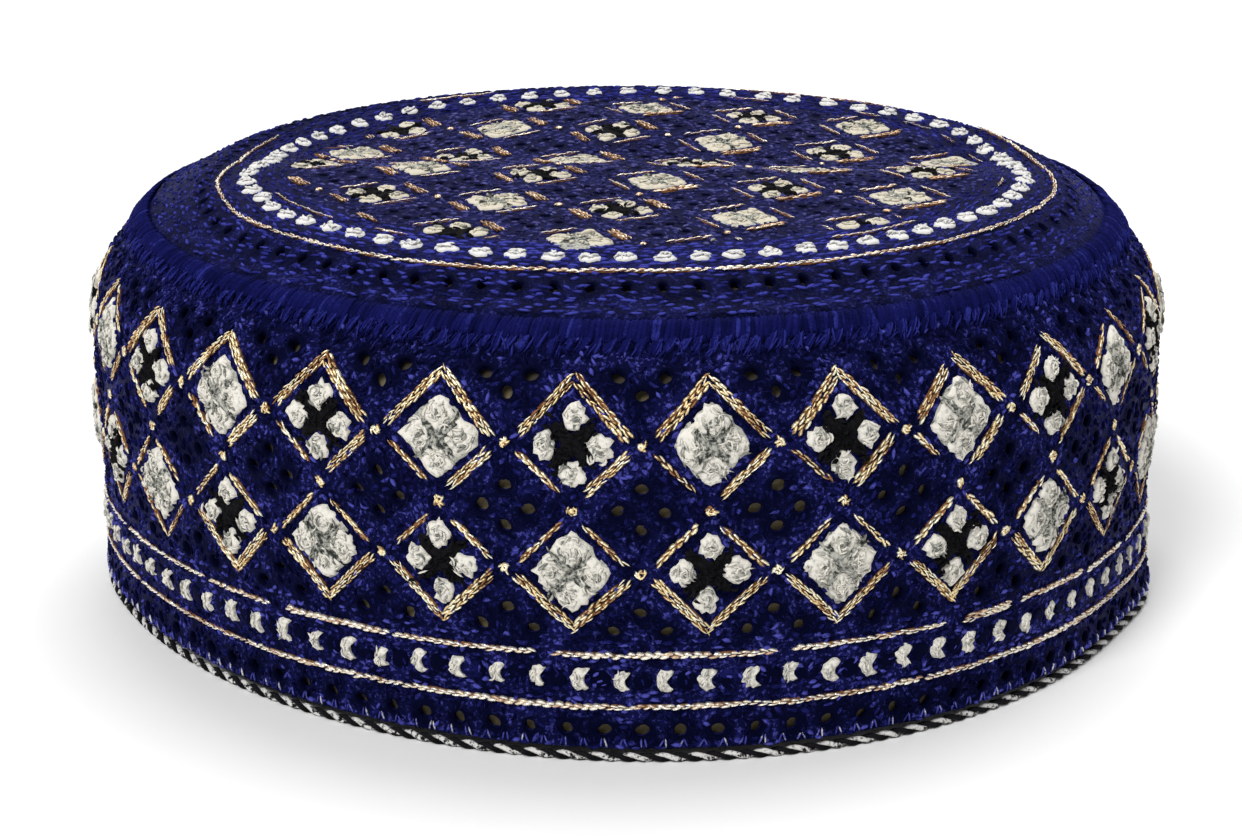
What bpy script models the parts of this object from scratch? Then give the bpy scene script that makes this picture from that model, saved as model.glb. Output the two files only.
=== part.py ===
"""Round embroidered cap: a flat crown on a tall stiff band, an overcast seam between them and a cord foot.

Metres, +Z up, origin under the middle of the cap on the surface it stands on. The front of the cap faces -Y.
An azimuth is measured from the front towards +X.
"""

import math

import bmesh
import bpy
from mathutils import Vector

# Driving dimensions
SEGMENTS = 80
SHARP_ANGLE = 40.0
CLOTH = 0.0018
GAP = 0.0003
BINDING_THICKNESS = 0.0009
CORD_WIDTH = 0.0021
CORD_HEIGHT = 0.0018
CORD_FLAT = 0.0010
CORD_WIDEST_AT = 0.40
UNDER_BINDING = BINDING_THICKNESS + GAP
CROWN_LEAN = -0.0005

# The outer skin of the cap, from the foot of the band up and over to the crown: name, radius, height
SKIN_SECTIONS = (
    ("band foot", 0.0920, CORD_HEIGHT + GAP),
    ("lower border", 0.0921, 0.0102),
    ("lower points", 0.0927, 0.0226),
    ("lower diamonds", 0.0935, 0.0326),
    ("crossings", 0.0940, 0.0428),
    ("upper diamonds", 0.0938, 0.0529),
    ("turn", 0.0928, 0.0578),
    ("upper points", 0.0908, 0.0622),
    ("binding foot", 0.0882, 0.0659),
    ("seam", 0.0860, 0.0686),
    ("binding top", 0.0837, 0.0705),
    ("slope", 0.0779, 0.0733),
    ("gold ring", 0.0746, 0.0750),
    ("dot ring", 0.0693, 0.0753),
    ("inner ring", 0.0640, 0.0754),
)
FOOT = 0
UPPER_POINTS = 7
SEAM = 9
SLOPE = 11
CROWN_HEIGHT = 0.0754
CROWN_RINGS = (0.0560, 0.0480, 0.0400, 0.0320, 0.0240, 0.0160, 0.0080)

# The hidden inside follows fewer sections: these, counted along its own run, are left out
BAND_INSIDE_SKIPS = (1, 3, 5)
CROWN_INSIDE_SKIPS = (4, 6, 8, 10, 12)

# Slow waves of the plan outline, in metres of radius: order, at the foot, at the shoulder, crest azimuth in degrees
PLAN_WAVES = (
    (2, 0.0009, 0.0000, 45.0),
    (2, 0.0000, 0.0007, -60.0),
    (3, 0.0004, 0.0002, 30.0),
    (4, 0.0007, 0.0000, 0.0),
)

# Upright corners left by folding the cap flat: azimuth, half width in degrees, depth at the foot,
# depth higher up, height over which the foot's part fades
FOLD_CORNERS = (
    (80.0, 9.0, 0.0032, 0.0004, 0.010),
    (-88.0, 14.0, 0.0014, 0.0012, 0.014),
)

# Shallow dents of the band and shoulder: azimuth, height, half width in degrees, half height,
# how far the cloth goes in, how far it goes down
BAND_DENTS = (
    (-56.0, 0.0716, 15.0, 0.0030, 0.0003, 0.0009),
    (58.0, 0.0450, 5.0, 0.0160, 0.0006, 0.0),
    (-22.0, 0.0300, 12.0, 0.0120, 0.0005, 0.0),
    (140.0, 0.0400, 10.0, 0.0200, 0.0008, 0.0),
    (-150.0, 0.0360, 8.0, 0.0220, 0.0007, 0.0),
)

# Rises and hollows of the crown: x, y, half width, half depth, height
CROWN_BUMPS = (
    (0.000, 0.034, 0.026, 0.018, 0.0018),
    (-0.050, 0.032, 0.018, 0.020, -0.0015),
    (0.060, 0.016, 0.012, 0.014, -0.0012),
    (0.032, -0.002, 0.012, 0.007, -0.0012),
)

# The crease that halves the crown, left by the same folding
CREASE_Y = -0.0088
CREASE_RISE = 0.0009
CREASE_DROP = 0.0019
CREASE_FALL = 0.0180
CREASE_SOFTNESS = 0.0030
CREASE_AT_RIM = 0.25
CROWN_EDGE = 0.0746
CROWN_FLAT = 0.0600

# Colours are linear red, green, blue
MATERIALS = {
    "crown": ((0.012, 0.012, 0.105, 1.0), 0.48),
    "side_band": ((0.010, 0.010, 0.090, 1.0), 0.50),
    "seam_binding": ((0.014, 0.018, 0.200, 1.0), 0.36),
    "rim_cord": ((0.060, 0.060, 0.070, 1.0), 0.55),
}


def clear_scene():
    """Remove whatever the scene holds."""
    for item in list(bpy.data.objects):
        bpy.data.objects.remove(item, do_unlink=True)


def smooth_step(low, high, value):
    """Rise smoothly from 0 at low to 1 at high."""
    t = min(max((value - low) / (high - low), 0.0), 1.0)
    return t * t * (3.0 - 2.0 * t)


def bell(distance):
    """Return a smooth hump that is 1 at 0 and nearly gone at 2."""
    return math.exp(-distance * distance)


def turn_between(azimuth, other):
    """Return the angle in degrees between two azimuths in degrees."""
    return (azimuth - other + 180.0) % 360.0 - 180.0


def crease_height(y):
    """Return the crown's height across the fold: a slow rise from the front, a quick fall, a slow rise."""
    half = CROWN_EDGE
    valley_y = CREASE_Y + CREASE_FALL

    def straight(at):
        if at < CREASE_Y:
            return CREASE_RISE * (at + half) / (CREASE_Y + half)
        if at < valley_y:
            return CREASE_RISE - (CREASE_RISE + CREASE_DROP) * (at - CREASE_Y) / CREASE_FALL
        return -CREASE_DROP * (half - at) / (half - valley_y)

    return (straight(y - CREASE_SOFTNESS) + 2.0 * straight(y) + straight(y + CREASE_SOFTNESS)) / 4.0


def crown_relief(x, y):
    """Return how far the crown lies above its flat height at a place."""
    radius = math.hypot(x, y)
    inside = 1.0 - smooth_step(CROWN_FLAT, CROWN_EDGE, radius)
    fade = 1.0 - smooth_step(CROWN_EDGE, SKIN_SECTIONS[SEAM][1], radius)
    relief = crease_height(y) * (CREASE_AT_RIM * fade + (1.0 - CREASE_AT_RIM) * inside)
    for at_x, at_y, wide, deep, height in CROWN_BUMPS:
        relief += inside * height * bell((x - at_x) / wide) * bell((y - at_y) / deep)
    return relief


def outline_shift(azimuth, height):
    """Return how far the plan outline stands outside its round radius."""
    up = min(max(height / SKIN_SECTIONS[SEAM][2], 0.0), 1.0)
    shift = 0.0
    for order, at_foot, at_shoulder, crest in PLAN_WAVES:
        size = at_foot * (1.0 - up) + at_shoulder * up
        shift += size * math.cos(order * math.radians(azimuth - crest))
    for corner, half_width, at_foot, higher, fade in FOLD_CORNERS:
        depth = at_foot * math.exp(-height / fade) + higher * (1.0 - up * up)
        shift += depth * bell(turn_between(azimuth, corner) / half_width)
    return shift


def skin_point(azimuth, radius, height):
    """Return the place of a section's point at an azimuth in degrees, with waves, corners and dents."""
    nearness = min(radius / SKIN_SECTIONS[SEAM][1], 1.0)
    radius += outline_shift(azimuth, height) * nearness * nearness
    for dent_azimuth, dent_height, wide, tall, inwards, downwards in BAND_DENTS:
        share = bell(turn_between(azimuth, dent_azimuth) / wide) * bell((height - dent_height) / tall)
        radius -= inwards * share
        height -= downwards * share * nearness
    angle = math.radians(azimuth)
    x = radius * math.sin(angle)
    y = -radius * math.cos(angle)
    lean = CROWN_LEAN * min(height / CROWN_HEIGHT, 1.0)
    return Vector((x, y + lean, height + crown_relief(x, y)))


def full_run():
    """Return the (radius, height) points of the whole skin, from the band's foot to the crown's inner rings."""
    run = [(radius, height) for name, radius, height in SKIN_SECTIONS]
    return run + [(radius, CROWN_HEIGHT) for radius in CROWN_RINGS]


def sunk_run(first, last, depth):
    """Return the skin's points from one section to another, moved inwards along the skin's normals."""
    run = full_run()
    moved = []
    for index in range(first, last + 1):
        before = Vector(run[max(index - 1, 0)])
        after = Vector(run[min(index + 1, len(run) - 1)])
        along = (after - before).normalized()
        moved.append((run[index][0] - along.y * depth, run[index][1] + along.x * depth))
    return moved


def thin_out(run, skips):
    """Return a run of sections without the skipped ones."""
    return [section for index, section in enumerate(run) if index not in skips]


def shorten(sections, start=0.0, end=0.0):
    """Pull the first and last points of a run of sections in along the run."""
    run = list(sections)
    for index, inner, amount in ((0, 1, start), (-1, -2, end)):
        point = Vector(run[index])
        run[index] = tuple(point + (Vector(run[inner]) - point).normalized() * amount)
    return run


def new_object(name, mesh_builder):
    """Link a named object whose mesh is made by mesh_builder, in its own material."""
    mesh = bpy.data.meshes.new(name)
    work = bmesh.new()
    mesh_builder(work)
    bmesh.ops.recalc_face_normals(work, faces=work.faces)
    work.to_mesh(mesh)
    work.free()
    mesh.shade_smooth()
    mesh.set_sharp_from_angle(angle=math.radians(SHARP_ANGLE))
    mesh.materials.append(cloth_material(name))
    item = bpy.data.objects.new(name, mesh)
    bpy.context.scene.collection.objects.link(item)
    return item


def cloth_material(name):
    """Return the plain material of a piece."""
    colour, roughness = MATERIALS[name]
    material = bpy.data.materials.new(name)
    material.use_nodes = True
    shader = material.node_tree.nodes["Principled BSDF"]
    shader.inputs["Base Color"].default_value = colour
    shader.inputs["Roughness"].default_value = roughness
    shader.inputs["Metallic"].default_value = 0.0
    return material


def add_loops(work, loops):
    """Add closed loops of vertices and the faces between each loop and the next."""
    rows = [[work.verts.new(place) for place in loop] for loop in loops]
    for row, following in zip(rows, rows[1:]):
        for index in range(len(row)):
            beside = (index + 1) % len(row)
            work.faces.new((row[index], row[beside], following[beside], following[index]))
    return rows


def loop_at(radius, height, place=skin_point):
    """Return one closed loop round the cap at a radius and height."""
    return [place(360.0 * index / SEGMENTS, radius, height) for index in range(SEGMENTS)]


def build_ring(work, outer, inner):
    """Build a closed ring of cloth from its outer and inner runs of sections."""
    closed = list(outer) + list(reversed(inner))
    closed.append(closed[0])
    rows = add_loops(work, [loop_at(radius, height) for radius, height in closed[:-1]])
    first, last = rows[0], rows[-1]
    for index in range(SEGMENTS):
        beside = (index + 1) % SEGMENTS
        work.faces.new((last[index], last[beside], first[beside], first[index]))


def build_side_band(work):
    """Build the tall band, open above and below, sunk under the binding."""
    wall = sunk_run(FOOT, UPPER_POINTS, 0.0)
    outer = wall + sunk_run(UPPER_POINTS + 1, SEAM, UNDER_BINDING)
    inner = sunk_run(FOOT, UPPER_POINTS, CLOTH) + sunk_run(UPPER_POINTS + 1, SEAM, UNDER_BINDING + CLOTH)
    inner = thin_out(inner, BAND_INSIDE_SKIPS)
    build_ring(work, shorten(outer, end=GAP / 2.0), shorten(inner, end=GAP / 2.0))


def build_crown(work):
    """Build the round top panel as one closed sheet of cloth, sunk under the binding."""
    last = len(full_run()) - 1
    top = sunk_run(SEAM, SLOPE - 1, UNDER_BINDING) + sunk_run(SLOPE, last, 0.0)
    under = sunk_run(SEAM, SLOPE - 1, UNDER_BINDING + CLOTH) + sunk_run(SLOPE, last, CLOTH)
    top = shorten(top, start=GAP / 2.0)
    under = shorten(under, start=GAP / 2.0)
    under = thin_out(under, CROWN_INSIDE_SKIPS)
    rows = add_loops(work, [loop_at(radius, height) for radius, height in list(reversed(under)) + top])
    for row, height in ((rows[0], CROWN_HEIGHT - CLOTH), (rows[-1], CROWN_HEIGHT)):
        middle = work.verts.new((0.0, CROWN_LEAN, height + crown_relief(0.0, 0.0)))
        for index in range(SEGMENTS):
            work.faces.new((row[index], row[(index + 1) % SEGMENTS], middle))


def build_seam_binding(work):
    """Build the wide band of overcast thread that wraps the seam."""
    outer = sunk_run(SEAM - 1, SEAM + 1, 0.0)
    build_ring(work, outer, sunk_run(SEAM - 1, SEAM + 1, BINDING_THICKNESS))


def build_rim_cord(work):
    """Build the cord under the band: a ring with a flat underside for the cap to stand on."""
    middle = SKIN_SECTIONS[FOOT][1] - CLOTH / 2.0 + GAP
    half_flat = CORD_FLAT / 2.0
    half_width = CORD_WIDTH / 2.0
    shape = (
        (half_flat, 0.0),
        (half_width, CORD_WIDEST_AT * CORD_HEIGHT),
        (half_flat, CORD_HEIGHT),
        (-half_flat, CORD_HEIGHT),
        (-half_width, CORD_WIDEST_AT * CORD_HEIGHT),
        (-half_flat, 0.0),
    )
    rows = [loop_at(middle + across, up, cord_point) for across, up in shape]
    built = add_loops(work, rows)
    for index in range(SEGMENTS):
        beside = (index + 1) % SEGMENTS
        work.faces.new((built[-1][index], built[-1][beside], built[0][beside], built[0][index]))


def cord_point(azimuth, radius, height):
    """Return a place on the cord, which follows the band's foot and keeps its own height."""
    radius += outline_shift(azimuth, SKIN_SECTIONS[FOOT][2])
    angle = math.radians(azimuth)
    return Vector((radius * math.sin(angle), -radius * math.cos(angle), height))


def centre_on_origin(pieces):
    """Shift all meshes alike, so that the middle of the whole cap's plan box is the origin."""
    places = [vertex.co for piece in pieces for vertex in piece.data.vertices]
    middle_x = (min(place.x for place in places) + max(place.x for place in places)) / 2.0
    middle_y = (min(place.y for place in places) + max(place.y for place in places)) / 2.0
    for piece in pieces:
        for vertex in piece.data.vertices:
            vertex.co.x -= middle_x
            vertex.co.y -= middle_y


def main():
    """Build the cap's four pieces."""
    clear_scene()
    pieces = [
        new_object("crown", build_crown),
        new_object("side_band", build_side_band),
        new_object("seam_binding", build_seam_binding),
        new_object("rim_cord", build_rim_cord),
    ]
    centre_on_origin(pieces)


main()
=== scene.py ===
"""Looks of a round embroidered cap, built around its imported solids: the pierced cloth and every stitch on it.

Metres, +Z up. Stitches are first laid out flat, as (along, up, lift), and then wrapped onto the cap.
An azimuth is measured from the front, which faces -Y, towards +X.
"""

import math

import bpy
import numpy as np
from mathutils import Matrix, Vector
from mathutils.bvhtree import BVHTree
from mathutils.geometry import delaunay_2d_cdt


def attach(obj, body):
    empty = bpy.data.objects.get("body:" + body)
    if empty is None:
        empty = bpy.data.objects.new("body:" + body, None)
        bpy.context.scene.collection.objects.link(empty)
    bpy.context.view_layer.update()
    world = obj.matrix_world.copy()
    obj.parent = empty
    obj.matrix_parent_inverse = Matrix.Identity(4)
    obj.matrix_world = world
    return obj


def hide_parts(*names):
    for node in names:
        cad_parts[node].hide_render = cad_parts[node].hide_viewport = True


bl_info = {
    "name": "Embroidered Cap",
    "version": (1, 0, 0),
    "blender": (4, 5, 0),
    "location": "3D View > Sidebar > Cap",
    "description": "Builds the pierced cloth, the embroidery, the seam and the cord of a round cap",
    "category": "Add Mesh",
}

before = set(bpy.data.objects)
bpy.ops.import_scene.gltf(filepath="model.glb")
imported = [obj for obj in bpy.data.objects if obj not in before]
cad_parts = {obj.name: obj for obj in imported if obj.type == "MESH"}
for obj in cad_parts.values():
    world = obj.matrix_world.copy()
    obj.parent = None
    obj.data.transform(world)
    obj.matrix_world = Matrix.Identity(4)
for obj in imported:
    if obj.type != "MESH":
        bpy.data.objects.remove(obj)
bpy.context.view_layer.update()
TURN = 2.0 * math.pi
QUARTER = math.pi / 2.0

# Feelers that read the skin of the solids: where they start, how far out, and how close together
HEART_RADIUS = 0.070
HEART_HEIGHT = 0.045
FEELER_REACH = 0.060
FEELER_STEP = 0.0015
SKIN_AZIMUTHS = 360
SKIN_STEP = 0.0005
TIP_RADIUS = 0.002

# The band's pattern: columns of diamonds in two rows
BAND_RADIUS = 0.0937
BAND_LENGTH = TURN * BAND_RADIUS
COLUMNS = 28
COLUMN = BAND_LENGTH / COLUMNS
FIRST_COLUMN = math.radians(-4.9) * BAND_RADIUS
UPPER_POINTS_Z = 0.0624
UPPER_ROW_Z = 0.0522
CROSSINGS_Z = 0.0419
LOWER_ROW_Z = 0.0318
LOWER_POINTS_Z = 0.0216
BORDER_TOP_Z = 0.0182
CRESCENTS_Z = 0.0140
BORDER_LINE_Z = 0.0095
FOOT_EYELETS_Z = 0.0054
# The flat directions along the band and up it
X_WAY = np.array((1.0, 0.0))
Y_WAY = np.array((0.0, 1.0))

# The crown's pattern: the same diamonds on a slightly skewed grid, turned by 14 to 17 degrees
CROWN_START = np.array((-0.0152, -0.0145))
CROWN_I = np.array((0.0204, -0.0051))
CROWN_J = np.array((0.0063, 0.0203))
CROWN_REACH = 4
CROWN_MOTIFS_WITHIN = 0.0700
CROWN_PATTERN_RADIUS = 0.0628
DOT_RING = 0.0700
GOLD_RING = 0.0752
INNER_RING = 0.0662
EYELET_RING = 0.0783
# The crown's rings lie off centre: azimuths in degrees and the rings' radii there as shares
RING_SHARES = (
    (0, 1.0), (30, 0.997), (60, 1.003), (76, 1.008), (92, 0.978), (105, 0.982), (120, 1.005), (135, 0.99),
    (150, 0.965), (175, 0.95), (190, 0.91), (210, 0.912), (235, 0.925), (258, 0.915), (272, 0.912),
    (284, 0.965), (300, 0.997), (330, 1.012),
)

# Eyelets: between two columns of the band as (aside, height), round its foot and the crown, in a crown cell
BAND_EYELETS = (
    (-0.0037, 0.0622),
    (0.0037, 0.0622),
    (0.0, 0.0597),
    (0.0, 0.0453),
    (-0.0036, 0.0418),
    (0.0036, 0.0415),
    (0.0, 0.0387),
    (0.0, 0.0250),
    (-0.0042, 0.0219),
    (0.0042, 0.0219),
)
FOOT_EYELETS = 98
RING_EYELETS = 88
CELL_EYELETS = ((0.0, 0.17), (0.0, -0.17), (0.17, 0.0), (-0.17, 0.0))
HOLE_SIDES = 14

# Rings of cloth round each eyelet: steps out from its edge, lifts of the first two, and tones of all three, low
# to paint shade into the eyelet's hollow
EYELET_STEPS = (0.0, 0.00028, 0.00080)
EYELET_LIFTS = (-0.00006, 0.00015)
EYELET_SHADE_TONES = (0.0, 0.0, 0.25)

# The cloth and its lining, and how the cloth's edges sink under the seam
CLOTH = 0.0013
LINING_LIFTS = (-CLOTH - 0.0005, -CLOTH - 0.0008)
LINING_SIDES = 112
SEAM_RADIUS = 0.0862
CROWN_EDGE = 0.0861
SINK = 0.0008
BAND_SINKS_AT_Z = 0.0662
BAND_SINKS_OVER = 0.002
CROWN_SINKS_WITHIN = (0.0832, 0.0850)
SEED = 20

# Shine and sheen of the silk, and the rim stitches' own shine
BLUE_SHINE = (0.22, 0.26, 1.0, 1.0)
BLUE_SHEEN = (0.07, 0.075, 0.60, 1.0)
SILK_SHEEN = {"sheen_weight": 0.17, "sheen_roughness": 0.35, "sheen_tint": BLUE_SHEEN}
SILK_GLOSS = 0.008
TICK_SHINE = (0.7, 0.75, 1.0, 1.0)

# Ground stitches: pitches of their shaken grids, where they end, how far they stay from holes, and within what
# reach of a band hole they are darkened as painted shade
BAND_PITCH = (0.0018, 0.00155)
CROWN_PITCH = (0.0018, 0.0016)
GROUND_TOP_Z = 0.0665
GROUND_REACH = 0.084
CROWN_GROUND_RADIUS = 0.0835
BAND_HOLE_CLEARANCE = 0.00035
BAND_HOLE_SHADE = 0.0012
CROWN_HOLE_CLEARANCE = 0.0003
# The diamonds that motifs cover, the frames whose stitches follow the gold, and the border's level lanes
MOTIF_HALVES = (0.0058, 0.0064)
FRAME_HALVES = (0.0105, 0.0102)
LANES_Z = (BORDER_TOP_Z + 0.0018, BORDER_TOP_Z - 0.0017, BORDER_LINE_Z + 0.0017, 0.0026)
LANE_HALF = 0.0008
BORDER_HALF = 0.0042

# Chain stitch: gap between its rows, width of its dark bed, which paints shade into the gaps between the gold
# strands, and how far bars are set in from a diamond's side
ROW_GAP = 0.00094
BED_WIDTH = 0.00115
BAR_INSET = 0.0006
# From the middle of a diamond to its sides
DIAMOND_DEPTH = 0.0073
# The small gold knots between the diamonds
KNOT_RADIUS = 0.00060
KNOT_STITCHES = 10

# Gold bars along a diamond's sides: in the upper row, from, to, trims at both ends, rows of chain, thickness
BARS = (
    (True, "left", "top", 0.13, 0.00, 2, 1.00),
    (True, "right", "top", 0.13, 0.00, 2, 1.05),
    (True, "left", "bottom", 0.16, 0.24, 1, 1.15),
    (True, "right", "bottom", 0.13, 0.20, 2, 0.95),
    (False, "left", "top", 0.15, 0.18, 1, 1.20),
    (False, "right", "top", 0.15, 0.18, 1, 1.20),
    (False, "left", "bottom", 0.13, 0.00, 2, 0.95),
    (False, "right", "bottom", 0.13, 0.00, 2, 0.90),
)

# On the crown, for its left and its right part: from, to, trims at both ends, rows of chain, thickness
CROWN_BARS = (
    (
        ("left", "top", 0.24, 0.26, 1, 0.34),
        ("right", "top", 0.28, 0.26, 2, 0.92),
        ("left", "bottom", 0.28, 0.28, 2, 0.92),
        ("right", "bottom", 0.22, 0.24, 1, 0.36),
    ),
    (
        ("left", "top", 0.22, 0.24, 1, 0.50),
        ("right", "top", 0.24, 0.24, 1, 0.45),
        ("left", "bottom", 0.24, 0.24, 1, 0.45),
        ("right", "bottom", 0.20, 0.20, 2, 0.75),
    ),
)
# Right of this sine of the azimuth, the left bars of the upper row end early by such a share
SHORT_BARS_FROM = 0.45
SHORT_BARS_BY = 0.20

# White lobes of a dark motif and their half sizes; half sizes of a pale motif, its lobes being shares of them
LOBES = ((0.0, 0.0043), (-0.0040, 0.0), (0.0041, 0.0), (0.0, -0.0045))
LOBE_HALVES = (0.00215, 0.00235)
PALE_HALVES = np.array((0.0059, 0.0065))
PALE_LOBES = ((0.0, 0.53), (-0.53, 0.0), (0.53, 0.0), (0.0, -0.53))
# The crosses between the lobes: ranges or sizes of reach and waist, and how far their threads spread
CROSS_SIDES = 32
CROSS_ARM = 0.33
GREY_REACH = (0.0040, 0.0052)
GREY_WAIST = (0.0010, 0.0017)
GREY_SPREAD = (0.0030, 0.0034)
BLACK_REACH = 0.0050
BLACK_WAIST = 0.0019
BLACK_SPREAD = (0.0034, 0.0036)
# White loops on each lobe and threads on each cross of the band's motifs, and the length of one loop
PALE_LOOPS = 20
GREY_THREADS = 20
DARK_LOOPS = 13
BLACK_THREADS = 46
LOOP_LENGTHS = (0.0011, 0.0023)
# The crown's motifs beside the band's: their size, height and raggedness
CROWN_MOTIF_SHARE = 0.90
CROWN_RISE = 0.50
CROWN_RAGGED = 0.5
# How high the motifs' grey bed, lobes, crosses and loose loops rise
PALE_BED = 0.00045
LOBE_RISE = 0.0008
GREY_RISE = (0.00085, 0.00108)
BLACK_RISE = 0.00055
LOOP_LIFT = 0.00085
GREY_LIFT = 0.00090
BLACK_LIFT = 0.0005

# The border's crescents and the dots round the crown
CRESCENTS = 88
CRESCENT_RADIUS = 0.0020
CRESCENT_BACK = np.radians(np.linspace(52.0, 308.0, 15))
CRESCENT_RISE = 0.0006
CRESCENT_MOUTH = 0.0013
CRESCENT_MOUTH_HALF = 0.0015
CRESCENT_HOLLOWS = (0.0009, 0.0014)
CRESCENT_LOOPS = 6
DISC_ASIDE = 0.0030
DISC_RADIUS = 0.00165
DISC_RISE = 0.00025
DOTS = 68
DOT_HALVES = (0.0019, 0.0017)
DOT_RISE = 0.0005
DOT_LOOPS = 7
# The dots drift towards the front by up to so many radians
DOT_DRIFT = 0.11

# The overcast seam: where it starts and ends, how far every other stitch falls short, and its stitches
SEAM_STITCHES = 760
SEAM_FOOT_Z = 0.0655
SEAM_TOP_RADIUS = 0.0842
SEAM_STEP = 0.0006
SEAM_THICK = 0.0017
SEAM_LEAN = 0.2
ZIGZAGS = 250
ZIGZAG_LENGTHS = (0.0028, 0.0038)
ZIGZAG_LEAN = 0.5
SEAM_STRANDS = 700
STRAND_LENGTHS = (0.0022, 0.0042)
STRAND_THICK = 0.0004
STRAND_LEAN = 0.45

# The rim cord, two plies twisted round a middle line, and the stitches above it
CORD_TWISTS = 111
CORD_STEPS = 10
CORD_SIDES = 8
CORD_INSET = 0.0006
CORD_MIDDLE_Z = 0.00078
PLY_REACH = 0.00034
PLY_RADIUS = 0.00043
BLANKET_STITCHES = 186
BLANKET_UP = 0.0011
BLANKET_LENGTH = 0.0017
BLANKET_THICK = 0.00038
BLANKET_HALF_GAP = 0.00035

# The view: a camera in front of the cap and above it, looking down at it
CAMERA_PLACE = (-0.00043, -0.51752, 0.18803)
CAMERA_PITCH = 0.30099
CAMERA_YAW = -0.00064
CAMERA_ROLL = 0.00635
CAMERA_FOCUS_PIXELS = 2965.0
PICTURE_WIDTH = 1242.0
SENSOR = 36.0
FLOOR_HALF = 3.0
WORLD_LIGHT = 0.38
# Lamps, all turned to one point: name, place, spread in degrees, power
LOOKED_AT = (0.0, 0.0, 0.04)
LAMPS = (
    ("key_lamp", (-0.45, -0.80, 0.95), 22.0, 2.3),
    ("fill_lamp", (0.9, -0.6, 0.6), 30.0, 0.1),
    ("top_lamp", (0.1, 0.45, 1.1), 38.0, 1.7),
)


class Skin:
    """The outer surface of the solids: a place and a normal for each azimuth and run up from the foot."""

    def __init__(self, names):
        corners = []
        polygons = []
        for name in names:
            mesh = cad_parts[name].data
            start = len(corners)
            corners += [vertex.co.copy() for vertex in mesh.vertices]
            polygons += [[start + index for index in face.vertices] for face in mesh.polygons]
        tree = BVHTree.FromPolygons(corners, polygons)
        feelers = self.feelers()
        felt = np.zeros((SKIN_AZIMUTHS, len(feelers), 3))
        self.turns = np.arange(SKIN_AZIMUTHS) * TURN / SKIN_AZIMUTHS
        for row, turn in enumerate(self.turns):
            out = Vector((math.sin(turn), -math.cos(turn), 0.0))
            for column, (radius, height, angle) in enumerate(feelers):
                way = out * math.cos(angle) + Vector((0.0, 0.0, math.sin(angle)))
                heart = out * radius + Vector((0.0, 0.0, height))
                place = tree.ray_cast(heart + way * FEELER_REACH, -way, FEELER_REACH)[0]
                if place is None:
                    raise RuntimeError(f"no surface found at {turn:.2f} {radius:.4f} {height:.4f}")
                felt[row, column] = place
        outward = np.stack([np.sin(self.turns), -np.cos(self.turns)], 1)
        radii = (felt[:, :, :2] * outward[:, None, :]).sum(2).mean(0)
        heights = felt[:, :, 2].mean(0)
        steps = np.hypot(np.diff(radii), np.diff(heights))
        runs = np.concatenate([[0.0], np.cumsum(steps)])
        self.runs = np.arange(0.0, runs[-1], SKIN_STEP)
        index = np.clip(np.searchsorted(runs, self.runs, side="right") - 1, 0, len(runs) - 2)
        share = ((self.runs - runs[index]) / (runs[index + 1] - runs[index]))[None, :, None]
        places = felt[:, index] * (1.0 - share) + felt[:, index + 1] * share
        places = soften(places, 0, 1.6, wraps=True)
        places = soften(places, 1, 2.6, wraps=False)
        self.radii = (places[:, :, :2] * outward[:, None, :]).sum(2).mean(0)
        self.heights = places[:, :, 2].mean(0)
        around = np.roll(places, -1, 0) - np.roll(places, 1, 0)
        upward = np.gradient(places, axis=1)
        level = np.stack([np.cos(self.turns), np.sin(self.turns), self.turns * 0.0], 1)
        around[:, self.radii < TIP_RADIUS] = level[:, None]
        normals = np.cross(around, upward)
        self.places = places
        self.normals = normals / np.linalg.norm(normals, axis=2, keepdims=True)

    def feelers(self):
        """Return the feelers: level on the band, fanned at the shoulder, upright on the crown."""
        level = [(HEART_RADIUS, z, 0.0) for z in np.arange(0.0023, HEART_HEIGHT, FEELER_STEP)]
        fan = [(HEART_RADIUS, HEART_HEIGHT, math.radians(angle)) for angle in np.arange(0.0, 90.0, 2.0)]
        upright = [(r, HEART_HEIGHT, QUARTER) for r in np.arange(HEART_RADIUS, -0.008, -FEELER_STEP)]
        return level + fan + upright

    def run_at_height(self, height):
        """Return the run length at a height on the band or shoulder."""
        rising = slice(0, int(np.argmax(self.radii < GOLD_RING)))
        return np.interp(height, self.heights[rising], self.runs[rising])

    def run_at_radius(self, radius):
        """Return the run length at a radius of the crown."""
        crown = self.heights > UPPER_POINTS_Z
        return np.interp(-np.asarray(radius), -self.radii[crown], self.runs[crown])

    def at(self, turns, runs, lifts):
        """Return the places at some azimuths in radians, run lengths and lifts off the surface."""
        columns = (np.asarray(turns) / TURN % 1.0) * SKIN_AZIMUTHS
        rows = np.clip(np.asarray(runs) / SKIN_STEP, 0.0, len(self.runs) - 1.001)
        left = np.floor(columns).astype(int) % SKIN_AZIMUTHS
        right = (left + 1) % SKIN_AZIMUTHS
        low = np.floor(rows).astype(int)
        across = (columns - np.floor(columns))[:, None]
        along = (rows - low)[:, None]

        def read(table):
            below = table[left, low] * (1.0 - across) + table[right, low] * across
            above = table[left, low + 1] * (1.0 - across) + table[right, low + 1] * across
            return below * (1.0 - along) + above * along

        return read(self.places) + read(self.normals) * np.asarray(lifts)[:, None]


def soften(values, axis, width, wraps):
    """Return a table smoothed along one axis by a bell curve of that width in cells."""
    reach = int(math.ceil(3.0 * width))
    values = np.moveaxis(values, axis, 0)
    if wraps:
        padded = np.concatenate([values[-reach:], values, values[:reach]])
    else:
        before = 2.0 * values[:1] - values[reach:0:-1]
        after = 2.0 * values[-1:] - values[-2 : -reach - 2 : -1]
        padded = np.concatenate([before, values, after])
    weights = np.exp(-0.5 * (np.arange(-reach, reach + 1) / width) ** 2)
    weights /= weights.sum()
    smooth = sum(weight * padded[step : step + len(values)] for step, weight in enumerate(weights))
    return np.moveaxis(smooth, 0, axis)


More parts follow.
